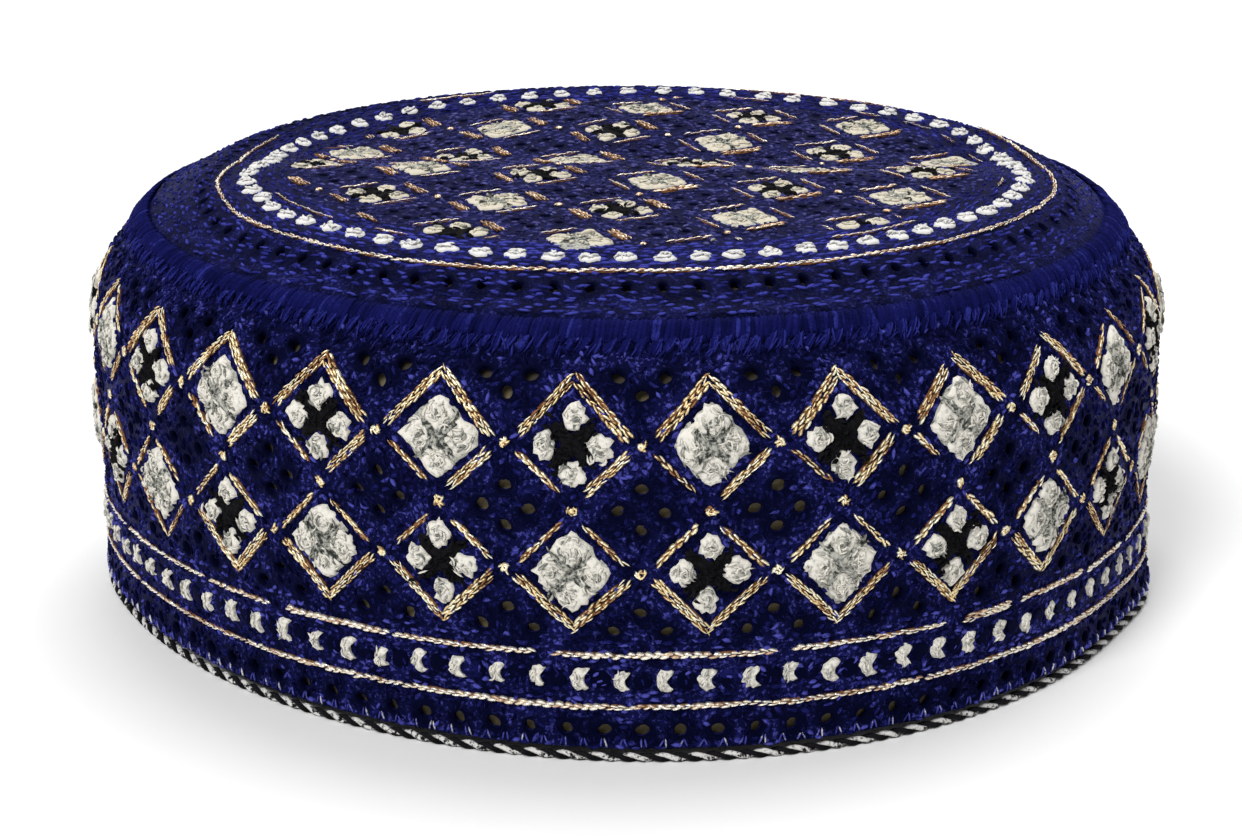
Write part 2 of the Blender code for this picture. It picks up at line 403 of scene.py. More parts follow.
SKIN = Skin(("side_band", "seam_binding", "crown"))
SEAM_RUN = SKIN.run_at_radius(SEAM_RADIUS)
FOOT_RUN = 0.0002


def wrap_round(points, radius=BAND_RADIUS, start=0.0):
    """Wrap flat points (along, up, lift) round the cap, with along measured at one radius."""
    return SKIN.at(points[:, 0] / radius, start + points[:, 1], points[:, 2])


def wrap_crown(points):
    """Put flat points (x, y, lift) on the crown, straight above their plan place."""
    turns = np.arctan2(points[:, 0], -points[:, 1])
    return SKIN.at(turns, SKIN.run_at_radius(np.hypot(points[:, 0], points[:, 1])), points[:, 2])


def ring_share(turns):
    """Return the size of the crown's rings at some azimuths, as a share of their radius."""
    degrees, shares = np.array(RING_SHARES).T
    return np.interp(np.degrees(turns), degrees, shares, period=360.0)


def on_ring(radius):
    """Return a wrapper for a ring of the crown, whose flat points are (along, inwards, lift)."""

    def wrap(points):
        turns = points[:, 0] / radius
        return SKIN.at(turns, SKIN.run_at_radius(radius * ring_share(turns) - points[:, 1]), points[:, 2])

    return wrap


def on_crown_pattern(points):
    """Tell which points (x, y) lie on the crown's lattice, inside its rings."""
    turns = np.arctan2(points[:, 0], -points[:, 1])
    return np.hypot(points[:, 0], points[:, 1]) < CROWN_PATTERN_RADIUS * ring_share(turns)


class Stitches:
    """A mesh of many short threads, each a tapered tube whose tones vary from thread to thread."""

    def __init__(self, seed, within=None):
        self.random = np.random.default_rng(SEED + seed)
        self.within = within
        self.places = []
        self.triangles = []
        self.tones = []
        self.kinds = []
        self.count = 0

    def lay(
        self, wrap, middles, heading, length, thick,
        bend=0.0, lift=0.0, hump=0.0, tone=None, points=5, **shape,
    ):
        """Lay one thread for each middle (along, up), as an arc of that heading, length and bend."""
        middles = np.asarray(middles, float).reshape(-1, 2)
        number = len(middles)
        tone = self.random.random(number) if tone is None else tone
        columns = (heading, length, thick, bend, lift, hump, tone)
        columns = [np.broadcast_to(values, number) for values in columns]
        if self.within:
            keep = self.within(middles)
            middles = middles[keep]
            columns = [column[keep] for column in columns]
        if not len(middles):
            return
        heading, length, thick, bend, lift, hump, tone = (column[:, None] for column in columns)
        share = np.linspace(-1.0, 1.0, points)[None, :]
        forward = share * length / 2.0
        arch = 1.0 - share**2
        sideways = bend * (arch - 0.6)
        x = middles[:, :1] + forward * np.cos(heading) - sideways * np.sin(heading)
        y = middles[:, 1:] + forward * np.sin(heading) + sideways * np.cos(heading)
        h = lift + hump * (arch - 0.4)
        self.tubes(wrap, np.stack([x, y, h], 2), thick[:, 0], tone[:, 0], **shape)

    def tubes(self, wrap, paths, thick, tone, sides=3, flat=0.85, kind=0, taper=0.55):
        """Turn paths of flat points into tubes of that thickness, pointed at both ends."""
        number, points = paths.shape[:2]
        ahead = np.gradient(paths, axis=1)
        ahead /= np.linalg.norm(ahead, axis=2, keepdims=True) + 1e-12
        side = np.stack([ahead[:, :, 1], -ahead[:, :, 0], np.zeros(ahead.shape[:2])], 2)
        side /= np.linalg.norm(side, axis=2, keepdims=True) + 1e-9
        top = np.cross(side, ahead)
        share = np.linspace(-1.0, 1.0, points)[1:-1]
        girth = (1.0 - (1.0 - taper) * share**4)[None, :, None] * np.asarray(thick)[:, None, None] / 2.0
        angles = QUARTER + TURN * np.arange(sides) / sides
        aside = np.cos(angles)[:, None] * side[:, 1:-1, None, :]
        above = flat * np.sin(angles)[:, None] * top[:, 1:-1, None, :]
        rings = paths[:, 1:-1, None, :] + girth[..., None] * (aside + above)
        body = rings.reshape(number, (points - 2) * sides, 3)
        flat_places = np.concatenate([paths[:, :1], body, paths[:, -1:]], 1)
        pattern = tube_triangles(points, sides)
        each = flat_places.shape[1]
        starts = self.count + each * np.arange(number)
        self.places.append(wrap(flat_places.reshape(-1, 3)))
        self.triangles.append((pattern[None] + starts[:, None, None]).reshape(-1, 3))
        self.tones.append(np.repeat(tone, each))
        self.kinds.append(np.full(number * len(pattern), kind))
        self.count += number * each

    def cushion(self, wrap, outline, high, tone, kind=0):
        """Lay a low cushion of thread inside an outline of flat points."""
        middle = outline.mean(0)
        if self.within and not self.within(middle[None])[0]:
            return
        sides = len(outline)
        rings = []
        for reach, rise in ((1.0, -0.0002), (0.93, 0.55 * high), (0.72, 0.92 * high), (0.38, high)):
            lifts = rise + self.random.normal(0.0, 0.08 * high, sides)
            rings.append(np.column_stack([middle + reach * (outline - middle), lifts]))
        rings.append(np.array([[*middle, high]]))
        self.places.append(wrap(np.concatenate(rings)))
        for ring in range(3):
            low = self.count + ring * sides
            self.triangles += strip(low, low + sides, sides)
        low = self.count + 3 * sides + np.arange(sides)
        self.triangles.append(np.stack([low, np.roll(low, -1), np.full(sides, self.count + 4 * sides)], 1))
        self.tones.append(np.full(4 * sides + 1, tone) + self.random.normal(0.0, 0.06, 4 * sides + 1))
        self.kinds.append(np.full(7 * sides, kind))
        self.count += 4 * sides + 1

    def finish(self, name, node, slot, *looks):
        """Make the piece, give it its looks, and let it stand for a solid."""
        piece = new_piece(name, np.concatenate(self.places), np.concatenate(self.triangles), looks)
        paint(piece, np.concatenate(self.tones), np.concatenate(self.kinds))
        settle(piece, node, slot)


def strip(low, high, number):
    """Return the two sets of triangles between two rings of points, given the rings' first points."""
    here = np.arange(number)
    beside = (here + 1) % number
    return [
        np.stack([low + here, low + beside, high + beside], 1),
        np.stack([low + here, high + beside, high + here], 1),
    ]


def tube_triangles(points, sides):
    """Return the triangles of one tube with pointed ends."""
    rings = points - 2
    faces = []
    last = 1 + rings * sides
    for step in range(sides):
        beside = (step + 1) % sides
        faces.append((0, 1 + step, 1 + beside))
        for ring in range(rings - 1):
            low = 1 + ring * sides
            faces.append((low + step, low + sides + step, low + sides + beside))
            faces.append((low + step, low + sides + beside, low + beside))
        low = 1 + (rings - 1) * sides
        faces.append((low + step, last, low + beside))
    return np.array(faces)


def new_piece(name, places, triangles, looks):
    """Make a smooth mesh object from arrays of places and triangles, with its named looks."""
    mesh = bpy.data.meshes.new(name)
    mesh.vertices.add(len(places))
    mesh.vertices.foreach_set("co", places.astype(np.float32).ravel())
    mesh.loops.add(3 * len(triangles))
    mesh.loops.foreach_set("vertex_index", triangles.astype(np.int32).ravel())
    mesh.polygons.add(len(triangles))
    mesh.polygons.foreach_set("loop_start", np.arange(0, 3 * len(triangles), 3, dtype=np.int32))
    for look in looks:
        mesh.materials.append(look_named(look))
    mesh.update(calc_edges=True)
    mesh.shade_smooth()
    piece = bpy.data.objects.new(name, mesh)
    bpy.context.scene.collection.objects.link(piece)
    return piece


def paint(piece, tones, kinds=None):
    """Store the tone of every point of a piece, and which of its looks each triangle has."""
    attribute = piece.data.attributes.new("tone", "FLOAT", "POINT")
    attribute.data.foreach_set("value", tones.astype(np.float32))
    if kinds is not None:
        piece.data.polygons.foreach_set("material_index", kinds.astype(np.int32))


def settle(piece, node, slot):
    """Let a piece ride on the cap and stand for a solid, whose part it hides; its slot is not used."""
    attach(piece, "root")
    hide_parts(node)


def lattice_places():
    """Return the crown's motifs as (x, y, is dark) and the middles of its plain cells."""
    motifs = []
    cells = []
    for i in range(-CROWN_REACH, CROWN_REACH + 2):
        for j in range(-CROWN_REACH, CROWN_REACH + 2):
            motif = CROWN_START + i * CROWN_I + j * CROWN_J
            if np.hypot(*motif) < CROWN_MOTIFS_WITHIN:
                motifs.append((motif[0], motif[1], (i + j) % 2 == 0))
            cells.append(motif + (CROWN_I + CROWN_J) / 2.0)
    return motifs, cells


def band_places():
    """Return the band's motifs as (along, up, is dark, is upper)."""
    motifs = []
    for column in range(COLUMNS):
        along = FIRST_COLUMN + column * COLUMN
        dark = column % 2 == 0
        motifs.append((along, SKIN.run_at_height(UPPER_ROW_Z), dark, True))
        motifs.append((along, SKIN.run_at_height(LOWER_ROW_Z), not dark, False))
    return motifs


def band_eyelets():
    """Return the eyelets of the band as (along, up) places."""
    run = SKIN.run_at_height
    places = []
    for column in range(COLUMNS):
        along = FIRST_COLUMN + (column + 0.5) * COLUMN
        for aside, height in BAND_EYELETS:
            places.append((along + aside, run(height)))
    pitch = BAND_LENGTH / FOOT_EYELETS
    places += [((index + 0.5) * pitch, run(FOOT_EYELETS_Z)) for index in range(FOOT_EYELETS)]
    return np.array(places)


def crown_eyelets():
    """Return the eyelets of the crown as (x, y) places."""
    angles = TURN * np.arange(RING_EYELETS) / RING_EYELETS
    reach = EYELET_RING * ring_share(angles)
    places = [(r * math.sin(angle), -r * math.cos(angle)) for r, angle in zip(reach, angles)]
    for cell in lattice_places()[1]:
        for share_i, share_j in CELL_EYELETS:
            place = cell + share_i * CROWN_I + share_j * CROWN_J
            if on_crown_pattern(place[None] * 1.04)[0]:
                places.append(tuple(place))
    return np.array(places)


def rings_round(holes, radius):
    """Return the points of a ring of about that radius round every hole, each hole uneven in its own way."""
    random = np.random.default_rng(SEED)
    angles = TURN * np.arange(HOLE_SIDES) / HOLE_SIDES + random.uniform(0.0, 0.4, (len(holes), 1))
    wave = 0.10 * np.cos(2.0 * angles + random.uniform(0.0, 6.0, (len(holes), 1)))
    reach = radius * random.uniform(0.88, 1.06, (len(holes), 1))
    reach = reach * (1.0 + wave + random.normal(0.0, 0.03, angles.shape))
    circle = reach[..., None] * np.stack([np.cos(angles), np.sin(angles)], 2)
    return (holes[:, None] + circle).reshape(-1, 2)


def short_way(along, period):
    """Return distances along a sheet, taken the short way round where the sheet repeats."""
    return (along + period / 2.0) % period - period / 2.0 if period else along


def clear_of(points, holes, distance, period=None):
    """Tell which points lie clear of every hole."""
    clear = np.ones(len(points), bool)
    for along, up in holes:
        clear &= np.hypot(short_way(points[:, 0] - along, period), points[:, 1] - up) > distance
    return clear


def layer(holes, radii, loops, spacing, inside, period, random):
    """Triangulate one flat layer: its border loops, then the rings round its holes, then its own points."""
    fixed = np.concatenate([*loops, *(rings_round(holes, radius) for radius in radii)])
    low = fixed.min(0)
    high = fixed.max(0)
    left = 0.0 if period else low[0]
    width = period or high[0] - low[0]
    across = round(width / spacing)
    step = width / across
    rows = enumerate(np.arange(low[1], high[1], spacing * math.sqrt(0.75)))
    grid = np.array([(left + (i + 0.5 * (row % 2)) * step, up) for row, up in rows for i in range(across)])
    grid += random.uniform(-0.22, 0.22, grid.shape) * spacing
    grid = grid[inside(grid, 0.5 * spacing)]
    grid = grid[clear_of(grid, holes, radii[-1] + 0.6 * spacing, period)]
    points = np.concatenate([fixed, grid])
    owners = np.full(len(points), -1)
    first = sum(len(loop) for loop in loops)
    owners[first : first + len(holes) * HOLE_SIDES] = np.repeat(np.arange(len(holes)), HOLE_SIDES)
    index = np.arange(len(points))
    laid = points
    if period:
        points[:, 0] %= period
        margin = 6.0 * spacing
        late = points[:, 0] > period - margin
        early = points[:, 0] < margin
        laid = np.concatenate([points, points[late] - (period, 0.0), points[early] + (period, 0.0)])
        index = np.concatenate([index, index[late], index[early]])
    found = delaunay_2d_cdt([Vector(point) for point in laid], [], [], 0, 1e-7)
    back = np.array([origin[0] for origin in found[3]])
    places = np.array([tuple(place) for place in found[0]])
    triangles = np.array(found[2])
    if period:
        middle = places[triangles].mean(1)[:, 0]
        triangles = triangles[(middle >= 0.0) & (middle < period)]
    triangles = index[back[triangles]]
    owned = owners[triangles]
    open_hole = (owned[:, 0] >= 0) & (owned[:, 0] == owned[:, 1]) & (owned[:, 0] == owned[:, 2])
    return points, triangles[~open_hole]


def pierced_cloth(name, holes, hole, loops, spacing, inside, relief, wrap, period, looks, seed):
    """Make a closed sheet of cloth with raised eyelets: a fine front, a coarse back and the walls between."""
    random = np.random.default_rng(SEED + seed)
    radii = [hole + step for step in EYELET_STEPS]
    front, faces = layer(holes, radii, loops, spacing, inside, period, random)
    back, back_faces = layer(holes, radii[:1], loops, 3.0 * spacing, inside, period, random)
    rims = sum(len(loop) for loop in loops)
    ring = len(holes) * HOLE_SIDES
    lifts = random.normal(0.0, 0.00004, len(front))
    lifts[:rims] = 0.0
    for index, lift in enumerate(EYELET_LIFTS):
        lifts[rims + index * ring : rims + (index + 1) * ring] = lift
    lifts += relief(front)
    sunk = relief(back) - CLOTH
    places = [wrap(np.column_stack([front, lifts])), wrap(np.column_stack([back, sunk]))]
    count = len(front)
    walls = []
    start = 0
    for loop in loops:
        walls.append((start, len(loop)))
        start += len(loop)
    walls += [(rims + index * HOLE_SIDES, HOLE_SIDES) for index in range(len(holes))]
    sides = [side for first, number in walls for side in strip(first, count + first, number)]
    triangles = np.concatenate([faces, back_faces[:, ::-1] + count, *sides])
    piece = new_piece(name, np.concatenate(places), triangles, looks)
    tones = np.ones(count + len(back))
    # The rings round each hole, on the front and on the back, take low tones: painted shade in the eyelet's
    # hollow and on its walls
    for index, tone in enumerate(EYELET_SHADE_TONES):
        tones[rims + index * ring : rims + (index + 1) * ring] = tone
    tones[count + rims : count + rims + ring] = 0.0
    paint(piece, tones)
    piece.data.validate()
    return piece


def lining(name, number, runs, closes):
    """Make a plain lining of two faces from rings of that many points; one that closes ends in a tip."""
    angles = np.tile(TURN * np.arange(number) / number, len(runs))
    along = np.repeat(runs, number)
    places = [SKIN.at(angles, along, np.full(len(along), lift)) for lift in LINING_LIFTS]
    here = np.arange(number)
    beside = (here + 1) % number
    quads = []
    for row in range(len(runs) - 1):
        low = row * number
        quads.append(np.stack([low + here, low + beside, low + number + beside, low + number + here], 1))
    quads = np.concatenate(quads)
    count = number * len(runs)
    ends = [0] if closes else [0, count - number]
    backs = [quads[:, ::-1] + count]
    for first in ends:
        walls = [first + beside, first + here, count + first + here, count + first + beside]
        backs.append(np.stack(walls, 1))
    every = np.concatenate([quads, *backs])
    triangles = [every[:, (0, 1, 2)], every[:, (0, 2, 3)]]
    if closes:
        top = SKIN.at(np.zeros(1), np.full(1, SKIN.run_at_radius(0.0)), np.zeros(1))
        for face, lift in enumerate(LINING_LIFTS):
            first = face * count + count - number
            places.append(top + np.array((0.0, 0.0, lift)))
            cap = np.stack([first + here, first + beside, np.full(number, 2 * count + face)], 1)
            triangles.append(cap[:, :: 1 - 2 * face])
    return new_piece(name, np.concatenate(places), np.concatenate(triangles), ("lining",))


class Value:
    """A shader socket whose arithmetic adds Math nodes."""

    def __init__(self, look, socket):
        self.look = look
        self.socket = socket

    def _with(self, operation, first, second=None):
        values = [first] if second is None else [first, second]
        node = self.look.node("ShaderNodeMath", {"operation": operation}, dict(enumerate(values)))
        return Value(self.look, node.outputs[0])

    def __add__(self, other):
        return self._with("ADD", self, other)

    __radd__ = __add__

    def __sub__(self, other):
        return self._with("SUBTRACT", self, other)

    def __rsub__(self, other):
        return self._with("SUBTRACT", other, self)

    def __mul__(self, other):
        return self._with("MULTIPLY", self, other)

    __rmul__ = __mul__

    def clamped(self):
        """Return the value held between 0 and 1."""
        return self._with("MINIMUM", self._with("MAXIMUM", self, 0.0), 1.0)

    def step(self, low, high):
        """Return a smooth rise from 0 at low to 1 at high."""
        settings = {"interpolation_type": "SMOOTHSTEP"}
        sockets = {"Value": self, "From Min": low, "From Max": high}
        node = self.look.node("ShaderNodeMapRange", settings, sockets)
        return Value(self.look, node.outputs[0])


class Look:
    """A procedural material: a Principled shader and the nodes that feed it."""

    def __init__(self, name, **finish):
        self.material = bpy.data.materials.new(name)
        self.material.use_nodes = True
        self.tree = self.material.node_tree
        self.shader = self.tree.nodes["Principled BSDF"]
        for socket, value in finish.items():
            self.shader.inputs[socket.replace("_", " ").title().replace("Ior", "IOR")].default_value = value

    def node(self, kind, settings=None, sockets=None):
        """Add a node: its type, its settings first, then the values or links of its sockets."""
        node = self.tree.nodes.new(kind)
        for name, value in (settings or {}).items():
            setattr(node, name, value)
        for name, value in (sockets or {}).items():
            self.feed(node.inputs[name], value)
        return node

    def feed(self, socket, value):
        """Link a value or set it as a constant."""
        if isinstance(value, Value):
            value = value.socket
        if isinstance(value, bpy.types.NodeSocket):
            self.tree.links.new(value, socket)
        else:
            socket.default_value = value

    def tone(self):
        """Return the tone of the thread that a point is on."""
        node = self.node("ShaderNodeAttribute", {"attribute_name": "tone"})
        return Value(self, node.outputs["Fac"])

    def place(self):
        """Return the object's own coordinates."""
        return self.node("ShaderNodeTexCoord").outputs["Object"]

    def height(self):
        """Return the height above the surface that the cap stands on."""
        return Value(self, self.node("ShaderNodeSeparateXYZ", None, {"Vector": self.place()}).outputs["Z"])

    def noise(self, scale, detail=2.0, roughness=0.5):
        """Return noise with that many cells to the metre."""
        sockets = {"Scale": scale, "Detail": detail, "Roughness": roughness, "Vector": self.place()}
        return Value(self, self.node("ShaderNodeTexNoise", None, sockets).outputs["Fac"])

    def mix(self, share, first, second):
        """Return a colour between two colours."""
        node = self.node("ShaderNodeMix", {"data_type": "RGBA"})
        self.feed(node.inputs[0], share)
        self.feed(node.inputs[6], first)
        self.feed(node.inputs[7], second)
        return node.outputs[2]

    def ramp(self, tone, first_step, second_step, dark, middle, light):
        """Return a colour that runs over three colours as the tone rises."""
        return self.mix(tone.step(*second_step), self.mix(tone.step(*first_step), dark, middle), light)

    def finish(self, colour, height=None, distance=0.0, strength=1.0):
        """Feed the base colour and the surface's relief, and return the material."""
        self.feed(self.shader.inputs["Base Color"], colour)
        if height:
            self.bump(height, distance, strength)
        return self.material

    def bump(self, height, distance, strength):
        """Let a height in units of distance shape the surface."""
        sockets = {"Height": height, "Distance": distance, "Strength": strength}
        node = self.node("ShaderNodeBump", None, sockets)
        self.feed(self.shader.inputs["Normal"], node.outputs[0])


def navy_cloth(name, dark, navy, glint_colour, glint_share, gloss=SILK_GLOSS):
    """Return the silky ground cloth: navy, darker in random patches and, as painted shade, between its threads
    and round the eyelets, with painted highlights where its threads would catch the light.
    """
    look = Look(name, roughness=0.42, specular_tint=BLUE_SHINE, specular_ior_level=gloss, **SILK_SHEEN)
    patches = look.noise(260.0, 3.0)
    threads = look.noise(1500.0, 3.0, 0.6)
    # Painted shade between the threads and, through the tone that is low only round the eyelets, round the
    # holes; the light spots are painted highlights
    share = (patches.step(0.38, 0.68) * 0.6 + threads.step(0.42, 0.72) * 0.6).clamped() * look.tone()
    painted_glints = threads.step(0.53, 0.66) * patches.step(0.40, 0.60) * look.tone()
    ground = look.mix(share, dark, navy)
    return look.finish(look.mix(painted_glints * glint_share, ground, glint_colour), threads + patches * 0.5, 0.00026)


def silk_thread(name, dark, middle, light, sheen_patchiness, gloss=SILK_GLOSS, shine=BLUE_SHINE):
    """Return a silky thread whose tone runs from dark over middle to light, its dark and light ends standing
    partly for painted shade and painted highlight, brighter in patches of painted sheen.
    """
    look = Look(name, roughness=0.38, specular_tint=shine, specular_ior_level=gloss, **SILK_SHEEN)
    fibres = look.noise(2600.0, 2.0)
    patches = look.noise(240.0, 2.0)
    tone = (look.tone() + (fibres - 0.5) * 0.9 + (patches - 0.5) * sheen_patchiness).clamped()
    return look.finish(look.ramp(tone, (0.0, 0.6), (0.6, 1.0), dark, middle, light), fibres, 0.00008, 0.6)


def gold_thread(name, dark, middle, light):
    """Return a metallic thread with painted glints on some wraps and painted shade on others."""
    look = Look(name, metallic=0.6)
    wraps = look.noise(1900.0, 2.0, 0.6)
    # Large patches of painted glints and painted shade on the gold
    painted_glint_patches = look.noise(180.0, 2.0)
    tone = (look.tone() * 0.7 + 0.12 + (wraps - 0.5) * 1.5 + (painted_glint_patches - 0.5) * 1.1).clamped()
    look.feed(look.shader.inputs["Roughness"], 0.5 - tone * 0.25)
    return look.finish(look.ramp(tone, (0.05, 0.40), (0.40, 0.75), dark, middle, light), wraps, 0.00016, 0.9)


def fluffy_thread(name, dark, light, pit_shade=1.6, relief=0.00030):
    """Return a soft matt thread with painted shade in the pits between its loops."""
    look = Look(name, roughness=0.9, specular_ior_level=0.12)
    fluff = look.noise(1500.0, 3.0, 0.6)
    tone = (look.tone() * 0.8 + (fluff - 0.5) * pit_shade + 0.1).clamped()
    return look.finish(look.mix(tone.step(0.05, 0.7), dark, light), fluff, relief)


def lining_cloth(name, dark, khaki, navy):
    """Return the plain khaki lining, a fine even weave, with painted shade towards the shoulder, where the
    upper eyelets lie in shadow.
    """
    look = Look(name, roughness=0.85, specular_ior_level=0.2)
    weave = look.noise(2400.0, 2.0)
    # Painted shade: towards the shoulder the lining turns to dark navy
    upper = look.height().step(0.0570, 0.0610) * 0.75
    return look.finish(look.mix(upper, look.mix(weave, dark, khaki), navy), weave, 0.00015, 0.5)


def pale_floor(name):
    """Return the pale matt floor."""
    look = Look(name, roughness=0.9, specular_ior_level=0.1)
    return look.finish(look.mix(look.noise(3.0, 2.0), (0.86, 0.86, 0.86, 1.0), (0.90, 0.90, 0.90, 1.0)))


# The cap's looks: kind, name of the material, colours from dark to light, further settings
LOOK_RECIPES = {
    "cloth": (navy_cloth, "navy_cloth", ("navy_dark", "navy", "royal_light"), (0.8,)),
    "crown_cloth": (navy_cloth, "crown_cloth", ("navy_dark", "navy", "royal_light"), (0.3, 0.02)),
    "ground": (silk_thread, "ground_thread", ("navy_dark", "royal", "royal_light"), (2.4,)),
    "crown_ground": (
        silk_thread, "crown_ground_thread", ("navy_dark", "crown_blue", "crown_light"), (1.1, 0.06)
    ),
    "ring_ground": (
        silk_thread, "ring_ground_thread", ("satin_dark", "ring_blue", "ring_light"), (1.4, 0.02)
    ),
    "satin": (silk_thread, "satin_thread", ("satin_dark", "satin", "satin_light"), (0.8,)),
    "tick": (silk_thread, "rim_tick_thread", ("royal", "royal_light", "silver"), (0.9, 0.09, TICK_SHINE)),
    "gold": (gold_thread, "gold_thread", ("gold_dark", "gold", "gold_light"), ()),
    "pale_gold": (gold_thread, "pale_gold_thread", ("pale_dark", "pale_gold", "pale_light"), ()),
    "rose_gold": (gold_thread, "rose_gold_thread", ("rose_dark", "rose", "pale_gold"), ()),
    "bed": (fluffy_thread, "gold_bed", ("bed", "bed_light"), ()),
    "white": (fluffy_thread, "white_thread", ("grey", "white"), (1.2, 0.00020)),
    "cream": (fluffy_thread, "cream_thread", ("grey", "cream"), (0.6, 0.00010)),
    "cool_white": (fluffy_thread, "cool_white_thread", ("grey", "cool_white"), (0.6, 0.00010)),
    "grey": (fluffy_thread, "grey_thread", ("grey_dark", "grey_light"), (2.2,)),
    "black": (fluffy_thread, "black_thread", ("black", "black_light"), ()),
    "silver": (fluffy_thread, "silver_thread", ("black_light", "silver"), (4.5,)),
    "lining": (lining_cloth, "lining_cloth", ("lining_dark", "lining", "navy_dark"), ()),
    "floor": (pale_floor, "pale_floor", (), ()),
}
LOOKS = {}


def look_named(name):
    """Return a material of the cap, made on first use."""
    if name not in LOOKS:
        maker, material, colours, settings = LOOK_RECIPES[name]
        picked = [(*getattr(bpy.context.scene.cap_colours, colour), 1.0) for colour in colours]
        LOOKS[name] = maker(material, *picked, *settings)
    return LOOKS[name]


def colour_property(name, description, default):
    """Return a colour property with a swatch."""
    return bpy.props.FloatVectorProperty(
        name=name, description=description, default=default, subtype="COLOR", size=3, min=0.0, max=1.0
    )


def length_property(name, description, default):
    """Return a length property."""
    return bpy.props.FloatProperty(
        name=name, description=description, default=default, min=0.0,
        subtype="DISTANCE", unit="LENGTH", precision=5,
    )


class CapSizes(bpy.types.PropertyGroup):
    """Sizes of the cloth's holes and of the threads."""

    eyelet: length_property("Eyelet radius", "Radius of the band's pierced eyelets", 0.00108)
    crown_eyelet: length_property("Crown eyelet radius", "Radius of the crown's pierced eyelets", 0.00080)
    grain: length_property("Cloth grain", "Spacing of the cloth's own points", 0.00125)
    stroke: length_property("Ground stitch", "Length of a ground stitch", 0.0018)
    stroke_thick: length_property("Ground thread", "Thickness of the ground thread", 0.00078)
    chain: length_property("Chain link", "Length of a chain stitch link", 0.00150)
    chain_thick: length_property("Gold thread", "Thickness of the gold thread", 0.00052)
    loop_thick: length_property("Loop thread", "Thickness of the white and dark loop thread", 0.00050)


class CapColours(bpy.types.PropertyGroup):
    """Colours of the cloth and the threads, linear."""

    navy_dark: colour_property("Dark navy", "Shaded ground", (0.0017, 0.0022, 0.0125))
    navy: colour_property("Navy", "Ground cloth", (0.0068, 0.0080, 0.062))
    royal: colour_property("Royal blue", "Ground stitches", (0.0086, 0.0100, 0.082))
    royal_light: colour_property("Light royal blue", "Ground stitches in the light", (0.066, 0.070, 0.35))
    # The crown's blues are lighter than the band's: painted sheen of the crown's silk under the light from
    # above
    crown_blue: colour_property("Crown blue", "Ground stitches of the crown", (0.0410, 0.0415, 0.160))
    crown_light: colour_property("Light crown blue", "Crown stitches in the light", (0.085, 0.085, 0.24))
    # The ring blues are partly painted sheen of the satin round the crown's edge
    ring_blue: colour_property("Ring blue", "Stitches outside the crown's rings", (0.0170, 0.0190, 0.150))
    ring_light: colour_property("Light ring blue", "The same stitches in the light", (0.044, 0.050, 0.30))
    satin_dark: colour_property("Dark satin", "Shaded seam stitches", (0.0026, 0.0034, 0.028))
    satin: colour_property("Satin", "Seam stitches", (0.0054, 0.0066, 0.064))
    satin_light: colour_property("Light satin", "Seam stitches in the light", (0.019, 0.023, 0.170))
    gold_dark: colour_property("Dark gold", "Gold thread in its shaded wraps", (0.30, 0.135, 0.055))
    gold: colour_property("Gold", "Gold thread", (0.98, 0.78, 0.43))
    gold_light: colour_property("Light gold", "Gold thread's glints", (1.0, 0.96, 0.76))
    pale_dark: colour_property("Dark pale gold", "Shaded gold thread of the border", (0.56, 0.36, 0.24))
    pale_gold: colour_property("Pale gold", "Gold thread of the border", (0.95, 0.79, 0.60))
    pale_light: colour_property("Pale glints", "Glints of the border's gold thread", (1.0, 0.94, 0.82))
    rose: colour_property("Rose gold", "Gold thread of the crown", (0.62, 0.40, 0.24))
    rose_dark: colour_property("Dark rose gold", "Shaded gold thread of the crown", (0.16, 0.075, 0.045))
    # The bed's colours are painted shade in the gaps between the gold strands; the lighter one shows where its
    # tone is high
    bed: colour_property("Dark bed", "Thread under the gold", (0.030, 0.012, 0.008))
    bed_light: colour_property("Bed", "Thread under the gold in the light", (0.26, 0.11, 0.035))
    white: colour_property("White", "Loop stitches", (0.74, 0.71, 0.64))
    cream: colour_property("Cream", "Loop stitches of the crown's motifs", (0.62, 0.57, 0.46))
    cool_white: colour_property("Cool white", "Dots of the crown", (0.72, 0.71, 0.69))
    # The grey of the white threads' pits is painted shade
    grey: colour_property("Grey", "Pits of the loop stitches", (0.17, 0.18, 0.16))
    grey_dark: colour_property("Dark grey", "Pits of the grey stitches", (0.030, 0.034, 0.031))
    grey_light: colour_property("Light grey", "Grey stitches", (0.44, 0.44, 0.39))
    black: colour_property("Black", "Dark stitches", (0.0008, 0.0008, 0.0013))
    black_light: colour_property("Soft black", "Dark stitches in the light", (0.0065, 0.0065, 0.0085))
    silver: colour_property("Silver", "Silver ply of the cord", (0.66, 0.65, 0.63))
    lining: colour_property("Khaki", "Lining", (0.30, 0.25, 0.14))
    lining_dark: colour_property("Dark khaki", "Shaded lining", (0.13, 0.105, 0.055))


def smooth_step(low, high, values):
    """Return a smooth rise from 0 at low to 1 at high."""
    share = np.clip((values - low) / (high - low), 0.0, 1.0)
    return share * share * (3.0 - 2.0 * share)


def share_sideways(along):
    """Return how far round a place on the band is, from 0 at the front to 1 at the sides and behind."""
    return float(smooth_step(0.85, 0.20, math.cos(along / BAND_RADIUS)))


